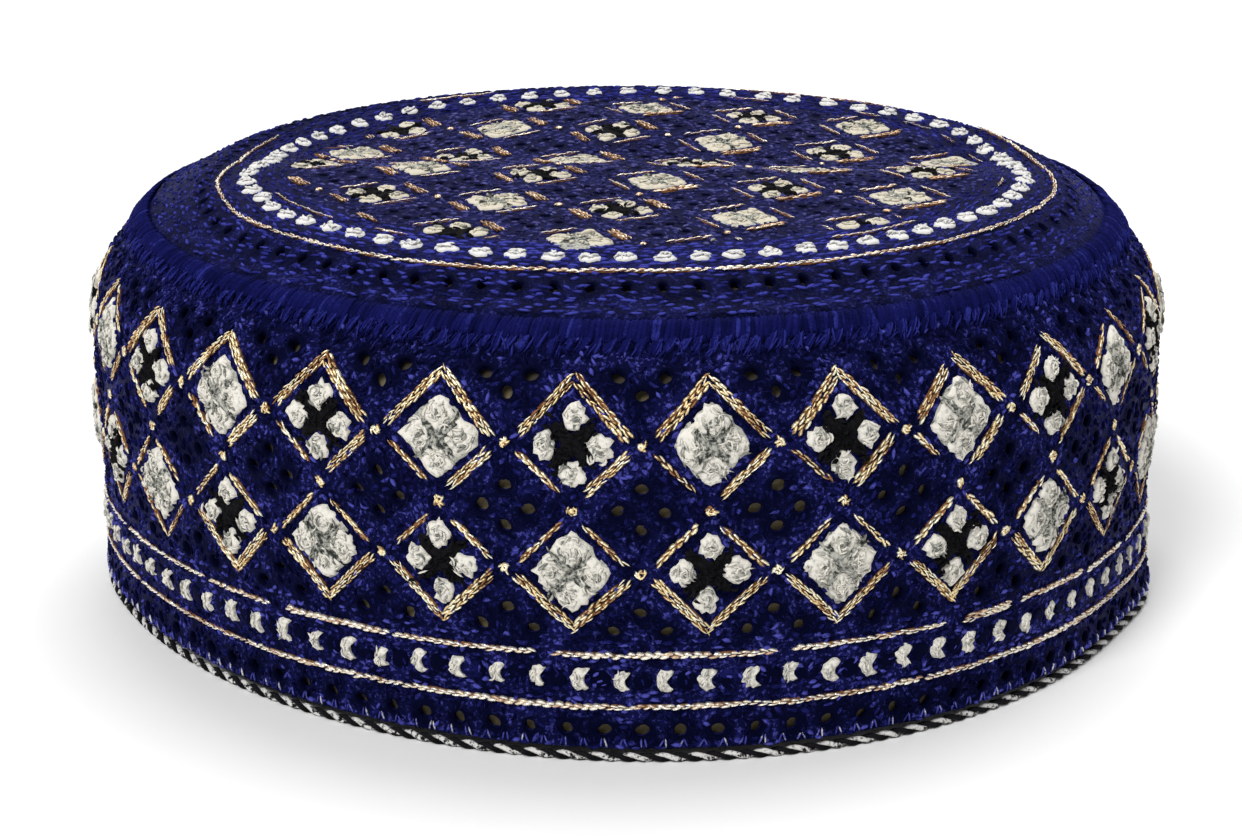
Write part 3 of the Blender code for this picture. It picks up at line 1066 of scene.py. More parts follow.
def chain(
    stitches, wrap, start, end, rows, sizes, thick=1.0, outward=0.0, joins=(False, False), painted_shine_and_girth=1.0, kind=0
):
    """Lay rows of chain stitch side by side from start to end, on a dark bed that paints shade into the gaps
    between the strands; joined ends are mitred.
    """
    random = stitches.random
    start = np.asarray(start, float)
    end = np.asarray(end, float)
    gauge = sizes.chain_thick * thick
    length = np.hypot(*(end - start))
    if length < sizes.chain:
        return
    ahead = (end - start) / length
    heading = math.atan2(ahead[1], ahead[0])
    side = np.array((-ahead[1], ahead[0]))
    for row in range(rows):
        aside = (row - (rows - 1) / 2.0) * ROW_GAP * thick
        mitre = aside * outward
        first, last = (mitre if joined else random.normal(0.0, 0.0003) for joined in joins)
        way = length + first + last
        number = max(2, round(way / sizes.chain))
        shares = (np.arange(number) + 0.5) / number
        line = start + (shares[:, None] * way - first) * ahead + side * aside
        line += random.normal(0.0, 0.00007, line.shape)
        middle = (start + end) / 2.0 + side * aside + ahead * (last - first) / 2.0
        # The dark bed under each row: painted shade showing in the gaps between its strands
        stitches.lay(
            wrap, middle, heading, way * 1.02, BED_WIDTH * thick,
            lift=0.00010, kind=1, points=7, flat=0.35, taper=0.9,
        )
        swell = 1.0 + 0.24 * np.sin(random.uniform(0.0, 6.0) + shares * random.uniform(2.0, 6.0))
        # This share scales each link's tone, so its painted shine, and also its thickness
        for hand in (-1.0, 1.0):
            places = line + side * hand * 0.40 * gauge + ahead * hand * 0.2 * sizes.chain
            stitches.lay(
                wrap, places, heading - hand * random.normal(0.14, 0.09, number),
                sizes.chain * random.uniform(1.0, 1.45, number),
                gauge * swell * painted_shine_and_girth**0.7 * random.uniform(0.75, 1.2, number), bend=hand * 0.25 * gauge,
                lift=random.uniform(0.00022, 0.00042, number), hump=random.uniform(0.00006, 0.00018, number),
                tone=painted_shine_and_girth * random.random(number), kind=kind,
            )


def diamond_corners(along, up, upper):
    """Return the four corners of a band diamond round its middle."""
    top = SKIN.run_at_height(UPPER_POINTS_Z if upper else CROSSINGS_Z)
    bottom = SKIN.run_at_height(CROSSINGS_Z if upper else LOWER_POINTS_Z)
    return {
        "left": np.array((along - COLUMN / 2.0, up)),
        "right": np.array((along + COLUMN / 2.0, up)),
        "top": np.array((along, top)),
        "bottom": np.array((along, bottom)),
    }


def trimmed(first, last, middle, trim_first, trim_last, random):
    """Return a bar's ends: trimmed, set in towards the diamond's middle, and a little uneven."""
    first = middle + (first - middle) * (1.0 - BAR_INSET / DIAMOND_DEPTH)
    last = middle + (last - middle) * (1.0 - BAR_INSET / DIAMOND_DEPTH)
    start = first + (last - first) * (trim_first + random.uniform(-0.015, 0.015))
    end = first + (last - first) * (1.0 - trim_last + random.uniform(-0.015, 0.015))
    return start + random.normal(0.0, 0.00015, 2), end + random.normal(0.0, 0.00015, 2)


def knots(stitches, wrap, middles, sizes, radius=KNOT_RADIUS):
    """Lay a small ragged star of gold stitches at each middle."""
    middles = np.asarray(middles)
    random = stitches.random
    angles = random.uniform(0.0, 6.0, (len(middles), 1)) + TURN * np.arange(KNOT_STITCHES) / KNOT_STITCHES
    reach = radius * random.uniform(0.2, 1.25, angles.shape)[..., None]
    places = middles[:, None] + reach * np.stack([np.cos(angles), np.sin(angles)], 2)
    count = angles.size
    stitches.lay(
        wrap, places.reshape(-1, 2), angles.ravel() + random.normal(1.0, 0.7, count),
        random.uniform(0.0008, 0.0015, count), sizes.chain_thick * random.uniform(0.8, 1.2, count),
        bend=-0.0001, lift=0.0003, hump=0.0001,
    )


class CapPiece:
    """What the cap's operators share."""

    bl_options = {"REGISTER", "UNDO"}

    @property
    def sizes(self):
        """Return the sizes that the user set."""
        return bpy.context.scene.cap_sizes


class CAP_OT_cloth(CapPiece, bpy.types.Operator):
    """Weave the pierced outer cloth of the band and the crown, and the lining behind them"""

    bl_idname = "cap.cloth"
    bl_label = "Cloth and lining"

    def execute(self, context):
        """Make the four sheets."""
        sizes = self.sizes
        number = round(BAND_LENGTH / sizes.grain)
        along = np.arange(number) * BAND_LENGTH / number
        top = SEAM_RUN - 0.0002
        loops = [np.column_stack([along, np.full(number, run)]) for run in (FOOT_RUN, top)]
        sink_from = SKIN.run_at_height(BAND_SINKS_AT_Z)
        count = round(TURN * CROWN_EDGE / sizes.grain)
        angles = TURN * np.arange(count) / count
        rim = CROWN_EDGE * np.stack([np.sin(angles), -np.cos(angles)], 1)

        def band_relief(points):
            return -SINK * smooth_step(sink_from, sink_from + BAND_SINKS_OVER, points[:, 1])

        def band_inside(points, margin):
            return (points[:, 1] > FOOT_RUN + margin) & (points[:, 1] < top - margin)

        def crown_relief(points):
            return -SINK * smooth_step(*CROWN_SINKS_WITHIN, np.hypot(points[:, 0], points[:, 1]))

        def crown_inside(points, margin):
            return np.hypot(points[:, 0], points[:, 1]) < CROWN_EDGE - margin

        band = pierced_cloth(
            "band_outer_cloth", band_eyelets(), sizes.eyelet, loops, sizes.grain,
            band_inside, band_relief, wrap_round, BAND_LENGTH, ("cloth",), 1,
        )
        settle(band, "side_band", "band_cloth")
        crown = pierced_cloth(
            "crown_outer_cloth", crown_eyelets(), sizes.crown_eyelet, [rim], sizes.grain,
            crown_inside, crown_relief, wrap_crown, None, ("crown_cloth",), 2,
        )
        settle(crown, "crown", "crown_cloth")
        band_runs = np.linspace(FOOT_RUN + 0.0003, SEAM_RUN - 0.0002, 16)
        settle(lining("band_lining", LINING_SIDES, band_runs, False), "side_band", "band_cloth")
        crown_runs = np.linspace(SEAM_RUN + 0.0004, SKIN.run_at_radius(TIP_RADIUS), 18)
        settle(lining("crown_lining", LINING_SIDES, crown_runs, True), "crown", "crown_cloth")
        return {"FINISHED"}


def scatter(random, low, high, pitch, shift=0.48):
    """Return places on a shaken grid."""
    xs = np.arange(low[0], high[0], pitch[0])
    ys = np.arange(low[1], high[1], pitch[1])
    grid = np.stack(np.meshgrid(xs, ys), 2)
    grid[::2, :, 0] += pitch[0] / 2.0
    grid = grid.reshape(-1, 2)
    return grid + random.uniform(-shift, shift, grid.shape) * np.array(pitch)


def in_diamond(points, middles, half_along, half_up, period=None):
    """Tell which points lie in one of the diamonds round some middles."""
    inside = np.zeros(len(points), bool)
    for middle in middles:
        along = short_way(points[:, 0] - middle[0], period)
        inside |= np.abs(along) / half_along + np.abs(points[:, 1] - middle[1]) / half_up < 1.0
    return inside


class CAP_OT_ground(CapPiece, bpy.types.Operator):
    """Scatter the short silky stitches that cover the navy ground"""

    bl_idname = "cap.ground"
    bl_label = "Ground stitches"

    def execute(self, context):
        """Make the ground stitches of the band and the crown."""
        self.band()
        self.crown()
        return {"FINISHED"}

    def band(self):
        """Cover the band: every which way, but along the gold frames and level along the border."""
        sizes = self.sizes
        stitches = Stitches(3)
        random = stitches.random
        places = scatter(random, (0.0, 0.0008), (BAND_LENGTH, SKIN.run_at_height(GROUND_TOP_Z)), BAND_PITCH)
        places = places[clear_of(places, band_eyelets(), sizes.eyelet + BAND_HOLE_CLEARANCE, BAND_LENGTH)]
        motifs = [(along, up) for along, up, dark, upper in band_places()]
        places = places[~in_diamond(places, motifs, *MOTIF_HALVES, BAND_LENGTH)]
        clear_of_hole_shade = clear_of(places, band_eyelets(), sizes.eyelet + BAND_HOLE_SHADE, BAND_LENGTH)
        number = len(places)
        leaning = random.choice((0.75, -0.75, 0.1, 1.5), number, p=(0.35, 0.3, 0.2, 0.15))
        leaning += random.normal(0.0, 0.3, number)
        # Stitches close to a band hole take darker tones: painted shade round the eyelet
        tone = random.beta(1.4, 2.2, number) - 0.35 * ~clear_of_hole_shade
        lanes = np.zeros(number, bool)
        for height in LANES_Z:
            lanes |= np.abs(places[:, 1] - SKIN.run_at_height(height)) < LANE_HALF
        leaning = np.where(lanes, random.normal(0.0, 0.12, number), leaning)
        border = np.abs(places[:, 1] - SKIN.run_at_height(CRESCENTS_Z)) < BORDER_HALF
        # Level lanes and the border take lighter tones: painted sheen of their level satin
        tone = np.where(lanes | border, random.beta(2.2, 1.8, number) + 0.05, tone)
        for along, up in motifs:
            aside = short_way(places[:, 0] - along, BAND_LENGTH)
            above = places[:, 1] - up
            frames = np.abs(aside) / FRAME_HALVES[0] + np.abs(above) / FRAME_HALVES[1] < 0.98
            slanting = -np.sign(aside * above) * 0.78 + random.normal(0.0, 0.12, number)
            leaning = np.where(frames, slanting, leaning)
        stitches.lay(
            wrap_round, places, leaning, sizes.stroke * random.uniform(0.7, 1.25, number),
            sizes.stroke_thick * random.uniform(0.7, 1.3, number), bend=random.normal(0.0, 0.0002, number),
            lift=0.00006, hump=random.uniform(0.0001, 0.00026, number), tone=tone, flat=0.6, points=4,
        )
        stitches.finish("band_ground_stitches", "side_band", "band_cloth", "ground")

    def crown(self):
        """Cover the crown: every which way inside its rings and round it outside them."""
        sizes = self.sizes
        stitches = Stitches(4)
        random = stitches.random
        places = scatter(random, (-GROUND_REACH, -GROUND_REACH), (GROUND_REACH, GROUND_REACH), CROWN_PITCH)
        places = places[np.hypot(places[:, 0], places[:, 1]) < CROWN_GROUND_RADIUS]
        places = places[clear_of(places, crown_eyelets(), sizes.crown_eyelet + CROWN_HOLE_CLEARANCE)]
        turns = np.arctan2(places[:, 1], places[:, 0])
        number = len(places)
        lattice = random.choice((0.5, -1.0, -0.25), number) + random.normal(0.0, 0.25, number)
        round_the_ring = turns + QUARTER + random.normal(0.0, 0.15, number)
        outside = ~on_crown_pattern(places)
        tone = random.beta(1.6, 2.4, number)
        # Outside the rings the stitches grow lighter towards the front: painted sheen of the satin there
        tone += np.where(outside, 0.5 * np.clip(-np.sin(turns), 0.0, 1.0), 0.05)
        parts = ((0, ~outside, lattice, 1.0), (1, outside, round_the_ring, 1.3))
        for kind, chosen, heading, stretch in parts:
            number = int(chosen.sum())
            stitches.lay(
                wrap_crown, places[chosen], heading[chosen],
                sizes.stroke * stretch * random.uniform(0.7, 1.25, number),
                sizes.stroke_thick * random.uniform(0.7, 1.1, number),
                bend=random.normal(0.0, 0.00015, number), lift=0.0,
                hump=random.uniform(0.00006, 0.00016, number), tone=tone[chosen],
                flat=0.6, points=4, kind=kind,
            )
        stitches.finish("crown_ground_stitches", "crown", "crown_cloth", "crown_ground", "ring_ground")


class CAP_OT_gold(CapPiece, bpy.types.Operator):
    """Lay the gold chain stitch: diamond sides, knots, border lines and the crown's rings"""

    bl_idname = "cap.gold"
    bl_label = "Gold chain stitch"

    def execute(self, context):
        """Make the gold pieces of the band and the crown."""
        for name, upper, seed in (("upper_gold_diamonds", True, 5), ("lower_gold_diamonds", False, 6)):
            self.diamonds(name, upper, seed)
        self.borders()
        self.crown()
        return {"FINISHED"}

    def diamonds(self, name, in_upper, seed):
        """Make the gold bars and knots of one row of diamonds."""
        stitches = Stitches(seed)
        random = stitches.random
        knots_at = []
        for along, up, dark, upper in band_places():
            if upper != in_upper:
                continue
            corners = diamond_corners(along, up, upper)
            middle = np.array((along, up))
            sideways = share_sideways(along)
            for row_is_upper, first, last, trim_first, trim_last, rows, thick in BARS:
                if row_is_upper != upper:
                    continue
                trim_first += sideways * random.uniform(0.0, 0.14)
                trim_last += sideways * random.uniform(-0.05, 0.14)
                if upper and first == "left" and math.sin(along / BAND_RADIUS) > SHORT_BARS_FROM:
                    trim_last += SHORT_BARS_BY
                thick -= 0.25 * sideways
                # Towards the sides the gold's tone is painted darker, as shade, more on bars that end at the
                # bottom corner; the same share also thins the thread
                painted_shine_and_girth = 1.0 - (0.38 if last == "top" else 0.62) * sideways
                rows = 1 if random.random() < 0.6 * sideways else rows
                sides = (middle, corners[first], corners[last], (trim_first, trim_last))
                self.bar(stitches, wrap_round, *sides, rows, thick, painted_shine_and_girth)
            knots_at.append(corners["right"])
            if upper:
                knots_at.append(corners["bottom"])
        knots(stitches, wrap_round, np.array(knots_at), self.sizes)
        stitches.finish(name, "side_band", "gold_thread", "gold", "bed")

    def bar(self, stitches, wrap, middle, first, last, trims, rows, thick, painted_shine_and_girth, kind=0):
        """Lay one bar along a side of a diamond; an end without a trim meets its neighbour."""
        start, end = trimmed(first, last, middle, *trims, stitches.random)
        way = end - start
        aside = (start + end) / 2.0 - middle
        outward = math.copysign(1.0, way[0] * aside[1] - way[1] * aside[0])
        joins = (trims[0] == 0.0, trims[1] == 0.0)
        thick *= stitches.random.uniform(0.74, 1.04)
        chain(stitches, wrap, start, end, rows, self.sizes, thick, outward, joins, painted_shine_and_girth, kind)

    def borders(self):
        """Make the two gold lines under the diamonds."""
        stitches = Stitches(7)
        random = stitches.random
        for height, gaps in ((BORDER_TOP_Z, True), (BORDER_LINE_Z, False)):
            run = float(SKIN.run_at_height(height))
            along = 0.0
            while along < BAND_LENGTH:
                piece = random.uniform(0.010, 0.030) if gaps else random.uniform(0.02, 0.04)
                piece = min(piece, BAND_LENGTH - along)
                rows = 2 if random.random() < 0.3 else 1
                shift = random.normal(0.0, 0.00012, 2)
                thick = random.uniform(0.52, 0.68) * (3 - rows) ** 0.5 * (1.0 - 0.30 * share_sideways(along))
                start = (along, run + shift[0])
                end = (along + piece, run + shift[1])
                chain(stitches, wrap_round, start, end, rows, self.sizes, thick, painted_shine_and_girth=1.6)
                along += piece + (random.uniform(0.0006, 0.0055) if gaps else 0.0004)
        stitches.finish("border_gold_lines", "side_band", "gold_thread", "pale_gold", "bed")

    def crown(self):
        """Make the crown's gold bars, knots and rings."""
        stitches = Stitches(8, on_crown_pattern)
        places = []
        half_i = CROWN_I / 2.0
        half_j = CROWN_J / 2.0
        half_ways = {"left": -half_i, "right": half_i, "top": half_j, "bottom": -half_j}
        for x, y, dark in lattice_places()[0]:
            middle = np.array((x, y))
            corners = {name: middle + half_way for name, half_way in half_ways.items()}
            for first, last, trim_first, trim_last, rows, thick in CROWN_BARS[int(x > 0.0)]:
                sides = (middle, corners[first], corners[last], (trim_first, trim_last))
                painted_shine_and_girth, kind = (0.8, 0) if rows == 2 else (0.9, 2)
                self.bar(stitches, wrap_crown, *sides, rows, thick, painted_shine_and_girth, kind)
            places += [corners["right"], corners["top"]]
        knots(stitches, wrap_crown, places[::3], self.sizes, KNOT_RADIUS / 2.0)
        stitches.finish("crown_gold_diamonds", "crown", "gold_thread", "rose_gold", "bed", "pale_gold")
        stitches = Stitches(9)
        random = stitches.random
        for radius, rows, thick, share in ((GOLD_RING, 1, 0.62, 0.97), (INNER_RING, 1, 0.32, 0.28)):
            wrap = on_ring(radius)
            length = TURN * radius
            along = 0.0
            while along < length:
                piece = random.uniform(0.012, 0.03) * (1.0 if radius == GOLD_RING else 0.35)
                piece = min(piece, length - along)
                behind = math.cos(along / radius) < -0.35
                if random.random() < share * (0.5 if behind else 1.0):
                    shift = random.normal(0.0, 0.0001, 2)
                    gauge = thick * (0.55 if behind else 1.0)
                    end = (along + piece, shift[1])
                    chain(stitches, wrap, (along, shift[0]), end, rows, self.sizes, gauge)
                along += piece + random.uniform(0.0001, 0.0006)
        stitches.finish("crown_gold_rings", "crown", "gold_thread", "pale_gold", "bed")


def rounded_diamond(random, halves, power, ragged, sides, turned=0.0):
    """Return a ragged diamond with rounded corners; its power is 1 for straight sides and 2 for an oval."""
    angles = TURN * np.arange(sides) / sides
    reach = (np.abs(np.cos(angles)) ** power + np.abs(np.sin(angles)) ** power) ** (-1.0 / power)
    reach *= 1.0 + random.normal(0.0, ragged, sides)
    angles = angles + turned
    return reach[:, None] * np.stack([halves[0] * np.cos(angles), halves[1] * np.sin(angles)], 1)


def cross_outline(random, reach, waist, ragged):
    """Return a ragged slanting cross, by its reach along the arms and its waist between them."""
    angles = TURN * np.arange(CROSS_SIDES) / CROSS_SIDES
    off_arm = np.abs(angles % QUARTER - math.pi / 4.0)
    radii = waist + (reach - waist) * np.exp(-((off_arm / CROSS_ARM) ** 2))
    radii *= 1.0 + random.normal(0.0, ragged, CROSS_SIDES)
    return radii[:, None] * np.stack([np.cos(angles), np.sin(angles)], 1)


class Plot:
    """A place on the cap with its own two directions and size, where a motif is laid."""

    def __init__(self, wrap, middle, across, upward, size=1.0, rise=1.0, ragged=1.0):
        self.wrap = wrap
        self.rise = rise
        self.ragged = ragged
        self.middle = np.asarray(middle)
        self.axes = size * np.array((across / np.hypot(*across), upward / np.hypot(*upward)))

    def place(self, points):
        """Return the flat places of the plot's own points."""
        return self.middle + points @ self.axes

    def cushion(self, stitches, outline, high, tone, kind=0):
        """Lay a cushion inside an outline of the plot's own points."""
        stitches.cushion(self.wrap, self.place(outline), high * self.rise, tone, kind)

    def heading(self, angles):
        """Return the flat headings of the plot's own headings."""
        ways = np.stack([np.cos(angles), np.sin(angles)], -1) @ self.axes
        return np.arctan2(ways[..., 1], ways[..., 0])


def curls(stitches, plot, middles, headings, thick, lift, tone, kind=0):
    """Lay curly loops of soft thread on a plot."""
    random = stitches.random
    number = len(middles)
    stitches.lay(
        plot.wrap, plot.place(middles), plot.heading(headings), random.uniform(*LOOP_LENGTHS, number),
        thick * random.uniform(0.75, 1.2, number), bend=random.normal(0.0, 0.0005, number),
        lift=plot.rise * (lift + random.uniform(-0.0001, 0.00015, number)),
        hump=plot.rise * random.uniform(0.0001, 0.0003, number), tone=tone, kind=kind,
    )


def pale_motif(white, grey, plot, loops, threads, thick):
    """Lay four white lobes close together, with a grey cross between them."""
    random = white.random
    plot.cushion(grey, rounded_diamond(random, PALE_HALVES, 1.3, 0.03, 28), PALE_BED, 0.6, 1)
    for lobe in PALE_LOBES:
        middle = np.array(lobe) * PALE_HALVES + random.normal(0.0, 0.00015, 2)
        halves = PALE_HALVES * 0.50 * random.uniform(0.92, 1.10, 2)
        outline = rounded_diamond(random, halves, 1.35, 0.09 * plot.ragged, 20)
        fill_lobe(white, plot, middle, outline, loops, thick)
    random = grey.random
    cross = cross_outline(random, random.uniform(*GREY_REACH), random.uniform(*GREY_WAIST), 0.14)
    plot.cushion(grey, cross, random.uniform(*GREY_RISE), random.uniform(0.12, 0.50), 1)
    hands = random.choice((-1.0, 1.0), threads)
    shares = random.uniform(-1.0, 1.0, threads)
    places = np.column_stack([shares * GREY_SPREAD[0], hands * shares * GREY_SPREAD[1]])
    places += random.normal(0.0, 0.0005, (threads, 2))
    tones = 0.8 * random.random(threads)
    curls(grey, plot, places, hands * 0.85 + random.normal(0.0, 0.5, threads), thick, GREY_LIFT, tones, 1)


def fill_lobe(white, plot, middle, outline, loops, thick):
    """Lay one white lobe: a cushion with curly loops round its middle."""
    random = white.random
    plot.cushion(white, middle + outline, LOBE_RISE, 0.62)
    picks = outline[random.integers(0, len(outline), loops)]
    ways = picks * random.uniform(0.0, 0.60 + 0.25 * plot.ragged, (loops, 1))
    headings = np.arctan2(ways[:, 1], ways[:, 0]) + QUARTER + random.normal(0.0, 0.5, loops)
    curls(white, plot, middle + ways, headings, thick, LOOP_LIFT, random.uniform(0.05, 1.0, loops))


def dark_motif(white, dark, plot, loops, threads, thick):
    """Lay four ragged white lobes round a black cross."""
    random = white.random
    for lobe in LOBES:
        middle = np.array(lobe) + random.normal(0.0, 0.0002, 2)
        halves = np.array(LOBE_HALVES) * random.uniform(0.85, 1.12, 2)
        outline = rounded_diamond(random, halves, 1.5, 0.13 * plot.ragged, 18, random.normal(0.0, 0.4))
        fill_lobe(white, plot, middle, outline, loops, thick)
    random = dark.random
    cross = cross_outline(random, BLACK_REACH, BLACK_WAIST, 0.09)
    plot.cushion(dark, cross, BLACK_RISE, 0.2)
    hands = random.choice((-1.0, 1.0), threads)
    shares = random.uniform(-1.0, 1.0, threads)
    places = np.column_stack([shares * BLACK_SPREAD[0], hands * shares * BLACK_SPREAD[1]])
    places += random.normal(0.0, 0.0007, (threads, 2))
    headings = hands * 0.8 + random.normal(0.0, 0.6, threads)
    curls(dark, plot, places, headings, thick * 1.5, BLACK_LIFT, random.random(threads) * 0.6)


class CAP_OT_motifs(CapPiece, bpy.types.Operator):
    """Fill the diamonds with white lobes round a grey or black cross"""

    bl_idname = "cap.motifs"
    bl_label = "Diamond motifs"

    def execute(self, context):
        """Make the white and the dark work of the band and the crown."""
        thick = self.sizes.loop_thick
        band = [
            (Plot(wrap_round, (along, up), X_WAY, Y_WAY, 1.0 - 0.09 * share_sideways(along)), dark)
            for along, up, dark, upper in band_places()
        ]
        crown = [
            (Plot(wrap_crown, (x, y), CROWN_I, CROWN_J, CROWN_MOTIF_SHARE, CROWN_RISE, CROWN_RAGGED), dark)
            for x, y, dark in lattice_places()[0]
        ]
        for name, node, plots, within, seed, share, white_look in (
            ("band", "side_band", band, None, 10, 1.0, "white"),
            ("crown", "crown", crown, on_crown_pattern, 12, 0.45, "cream"),
        ):
            white = Stitches(seed, within)
            black = Stitches(seed + 1, within)
            for plot, dark in plots:
                if dark:
                    loops, threads = (round(share * number) for number in (DARK_LOOPS, BLACK_THREADS))
                    dark_motif(white, black, plot, loops, threads, thick)
                else:
                    loops, threads = (round(share * number) for number in (PALE_LOOPS, GREY_THREADS))
                    pale_motif(white, black, plot, loops, threads, thick)
            white.finish(name + "_white_work", node, "white_thread", white_look)
            black.finish(name + "_crosses", node, "black_thread", "black", "grey")
        return {"FINISHED"}


class CAP_OT_border(CapPiece, bpy.types.Operator):
    """Stitch the white crescents of the border and the white dots of the crown's ring"""

    bl_idname = "cap.border"
    bl_label = "Crescents and dots"

    def execute(self, context):
        """Make the crescents and the dots."""
        thick = self.sizes.loop_thick
        stitches = Stitches(14)
        discs = Stitches(19)
        random = stitches.random
        run = float(SKIN.run_at_height(CRESCENTS_Z))
        for index in range(CRESCENTS):
            along = index * BAND_LENGTH / CRESCENTS
            plot = Plot(wrap_round, np.array((along, run)) + random.normal(0.0, 0.00015, 2), X_WAY, Y_WAY)
            size = random.uniform(0.8, 1.06) * (1.0 - 0.16 * share_sideways(along))
            outer = CRESCENT_BACK + random.normal(0.0, 0.04, len(CRESCENT_BACK))
            inner = np.radians(np.linspace(-72.0, 72.0, 9))
            reach = CRESCENT_RADIUS * (1.0 + random.normal(0.0, 0.08, len(CRESCENT_BACK)))
            hollow = random.uniform(*CRESCENT_HOLLOWS)
            outline = np.concatenate([
                reach[:, None] * np.stack([0.95 * np.cos(outer), np.sin(outer)], 1),
                np.stack([CRESCENT_MOUTH - hollow * np.cos(inner), CRESCENT_MOUTH_HALF * np.sin(inner)], 1),
            ])
            plot.cushion(stitches, outline * size, CRESCENT_RISE, 0.5)
            number = CRESCENT_LOOPS
            places = np.array((-0.0009, 0.0)) + random.uniform(-1.0, 1.0, (number, 2)) * (0.0003, 0.0011)
            headings = random.normal(QUARTER, 0.4, number)
            curls(stitches, plot, places, headings, thick, CRESCENT_RISE, random.uniform(0.3, 1.0, number))
            disc = rounded_diamond(random, (DISC_RADIUS, DISC_RADIUS), 2.0, 0.07, 14)
            plot.cushion(discs, np.array((DISC_ASIDE, 0.0)) + disc, DISC_RISE, random.uniform(-0.3, 0.15))
        stitches.finish("border_crescents", "side_band", "white_thread", "white")
        discs.finish("border_discs", "side_band", "band_cloth", "ground")
        stitches = Stitches(15)
        random = stitches.random
        wrap = on_ring(DOT_RING)
        for index in range(DOTS):
            turn = TURN * index / DOTS
            turn -= DOT_DRIFT * math.sin(turn)
            plot = Plot(wrap, np.array((turn * DOT_RING, 0.0)) + random.normal(0.0, 0.0002, 2), X_WAY, Y_WAY)
            outline = rounded_diamond(random, DOT_HALVES, 1.7, 0.09, 16, random.normal(0.0, 0.3))
            plot.cushion(stitches, outline, DOT_RISE, 0.65)
            number = DOT_LOOPS
            places = random.uniform(-1.0, 1.0, (number, 2)) * (0.0010, 0.0008)
            headings = random.normal(0.0, 0.6, number)
            curls(stitches, plot, places, headings, thick, 0.0006, random.uniform(0.4, 1.0, number))
        stitches.finish("crown_dots", "crown", "white_thread", "cool_white")
        return {"FINISHED"}


class CAP_OT_seam(CapPiece, bpy.types.Operator):
    """Overcast the seam between band and crown with satin stitches and a zigzag"""

    bl_idname = "cap.seam"
    bl_label = "Seam stitches"

    def execute(self, context):
        """Make the satin stitches and the zigzag below them."""
        stitches = Stitches(16)
        random = stitches.random
        number = SEAM_STITCHES
        start = float(SEAM_RUN)
        low = float(SKIN.run_at_height(SEAM_FOOT_Z)) - start
        high = float(SKIN.run_at_radius(SEAM_TOP_RADIUS)) - start
        along = np.arange(number) * TURN * SEAM_RADIUS / number
        shift = np.where(np.arange(number) % 2 == 0, SEAM_STEP, 0.0)
        low += 0.0007
        middle = (low + high) / 2.0 + shift / 2.0
        length = (high - low) - shift + random.normal(0.0, 0.0002, number)
        places = np.column_stack([along + random.normal(0.0, 0.0001, number), middle])

        def wrap(points):
            return wrap_round(points, SEAM_RADIUS, start)

        stitches.lay(
            wrap, places, QUARTER - SEAM_LEAN + random.normal(0.0, 0.09, number), length,
            SEAM_THICK * random.uniform(0.8, 1.2, number), hump=0.00030,
            lift=random.normal(0.0, 0.00005, number), tone=random.beta(3.0, 4.0, number), points=7, flat=0.30,
        )
        number = ZIGZAGS
        along = (np.arange(number) + random.uniform(-0.15, 0.15, number)) * TURN * SEAM_RADIUS / number
        places = np.column_stack([along, low + random.normal(0.0001, 0.0002, number)])
        heading = QUARTER - ZIGZAG_LEAN + random.normal(0.0, 0.14, number)
        # Each tooth is a broad stroke with a thin, light stroke along its edge: a painted highlight
        for aside, tone, thick, rise in ((0.0, 0.55, 0.0016, 0.0), (0.0003, 0.9, 0.0006, 0.00012)):
            stitches.lay(
                wrap, places + (aside, 0.0), heading, random.uniform(*ZIGZAG_LENGTHS, number), thick,
                lift=0.00018 + rise, hump=0.00018, flat=0.35,
                tone=np.clip(random.normal(tone, 0.15, number), 0.0, 1.0),
            )
        number = SEAM_STRANDS
        along = random.uniform(0.0, TURN * SEAM_RADIUS, number)
        places = np.column_stack([along, low + random.normal(-0.0004, 0.0004, number)])
        stitches.lay(
            wrap, places, QUARTER - STRAND_LEAN + random.normal(0.0, 0.3, number),
            random.uniform(*STRAND_LENGTHS, number), STRAND_THICK * random.uniform(0.7, 1.3, number),
            bend=random.normal(0.0, 0.0003, number), lift=0.00035, hump=0.0002,
            tone=random.uniform(0.3, 1.1, number), points=4,
        )
        stitches.finish("seam_satin_stitches", "seam_binding", "binding_thread", "satin")
        return {"FINISHED"}


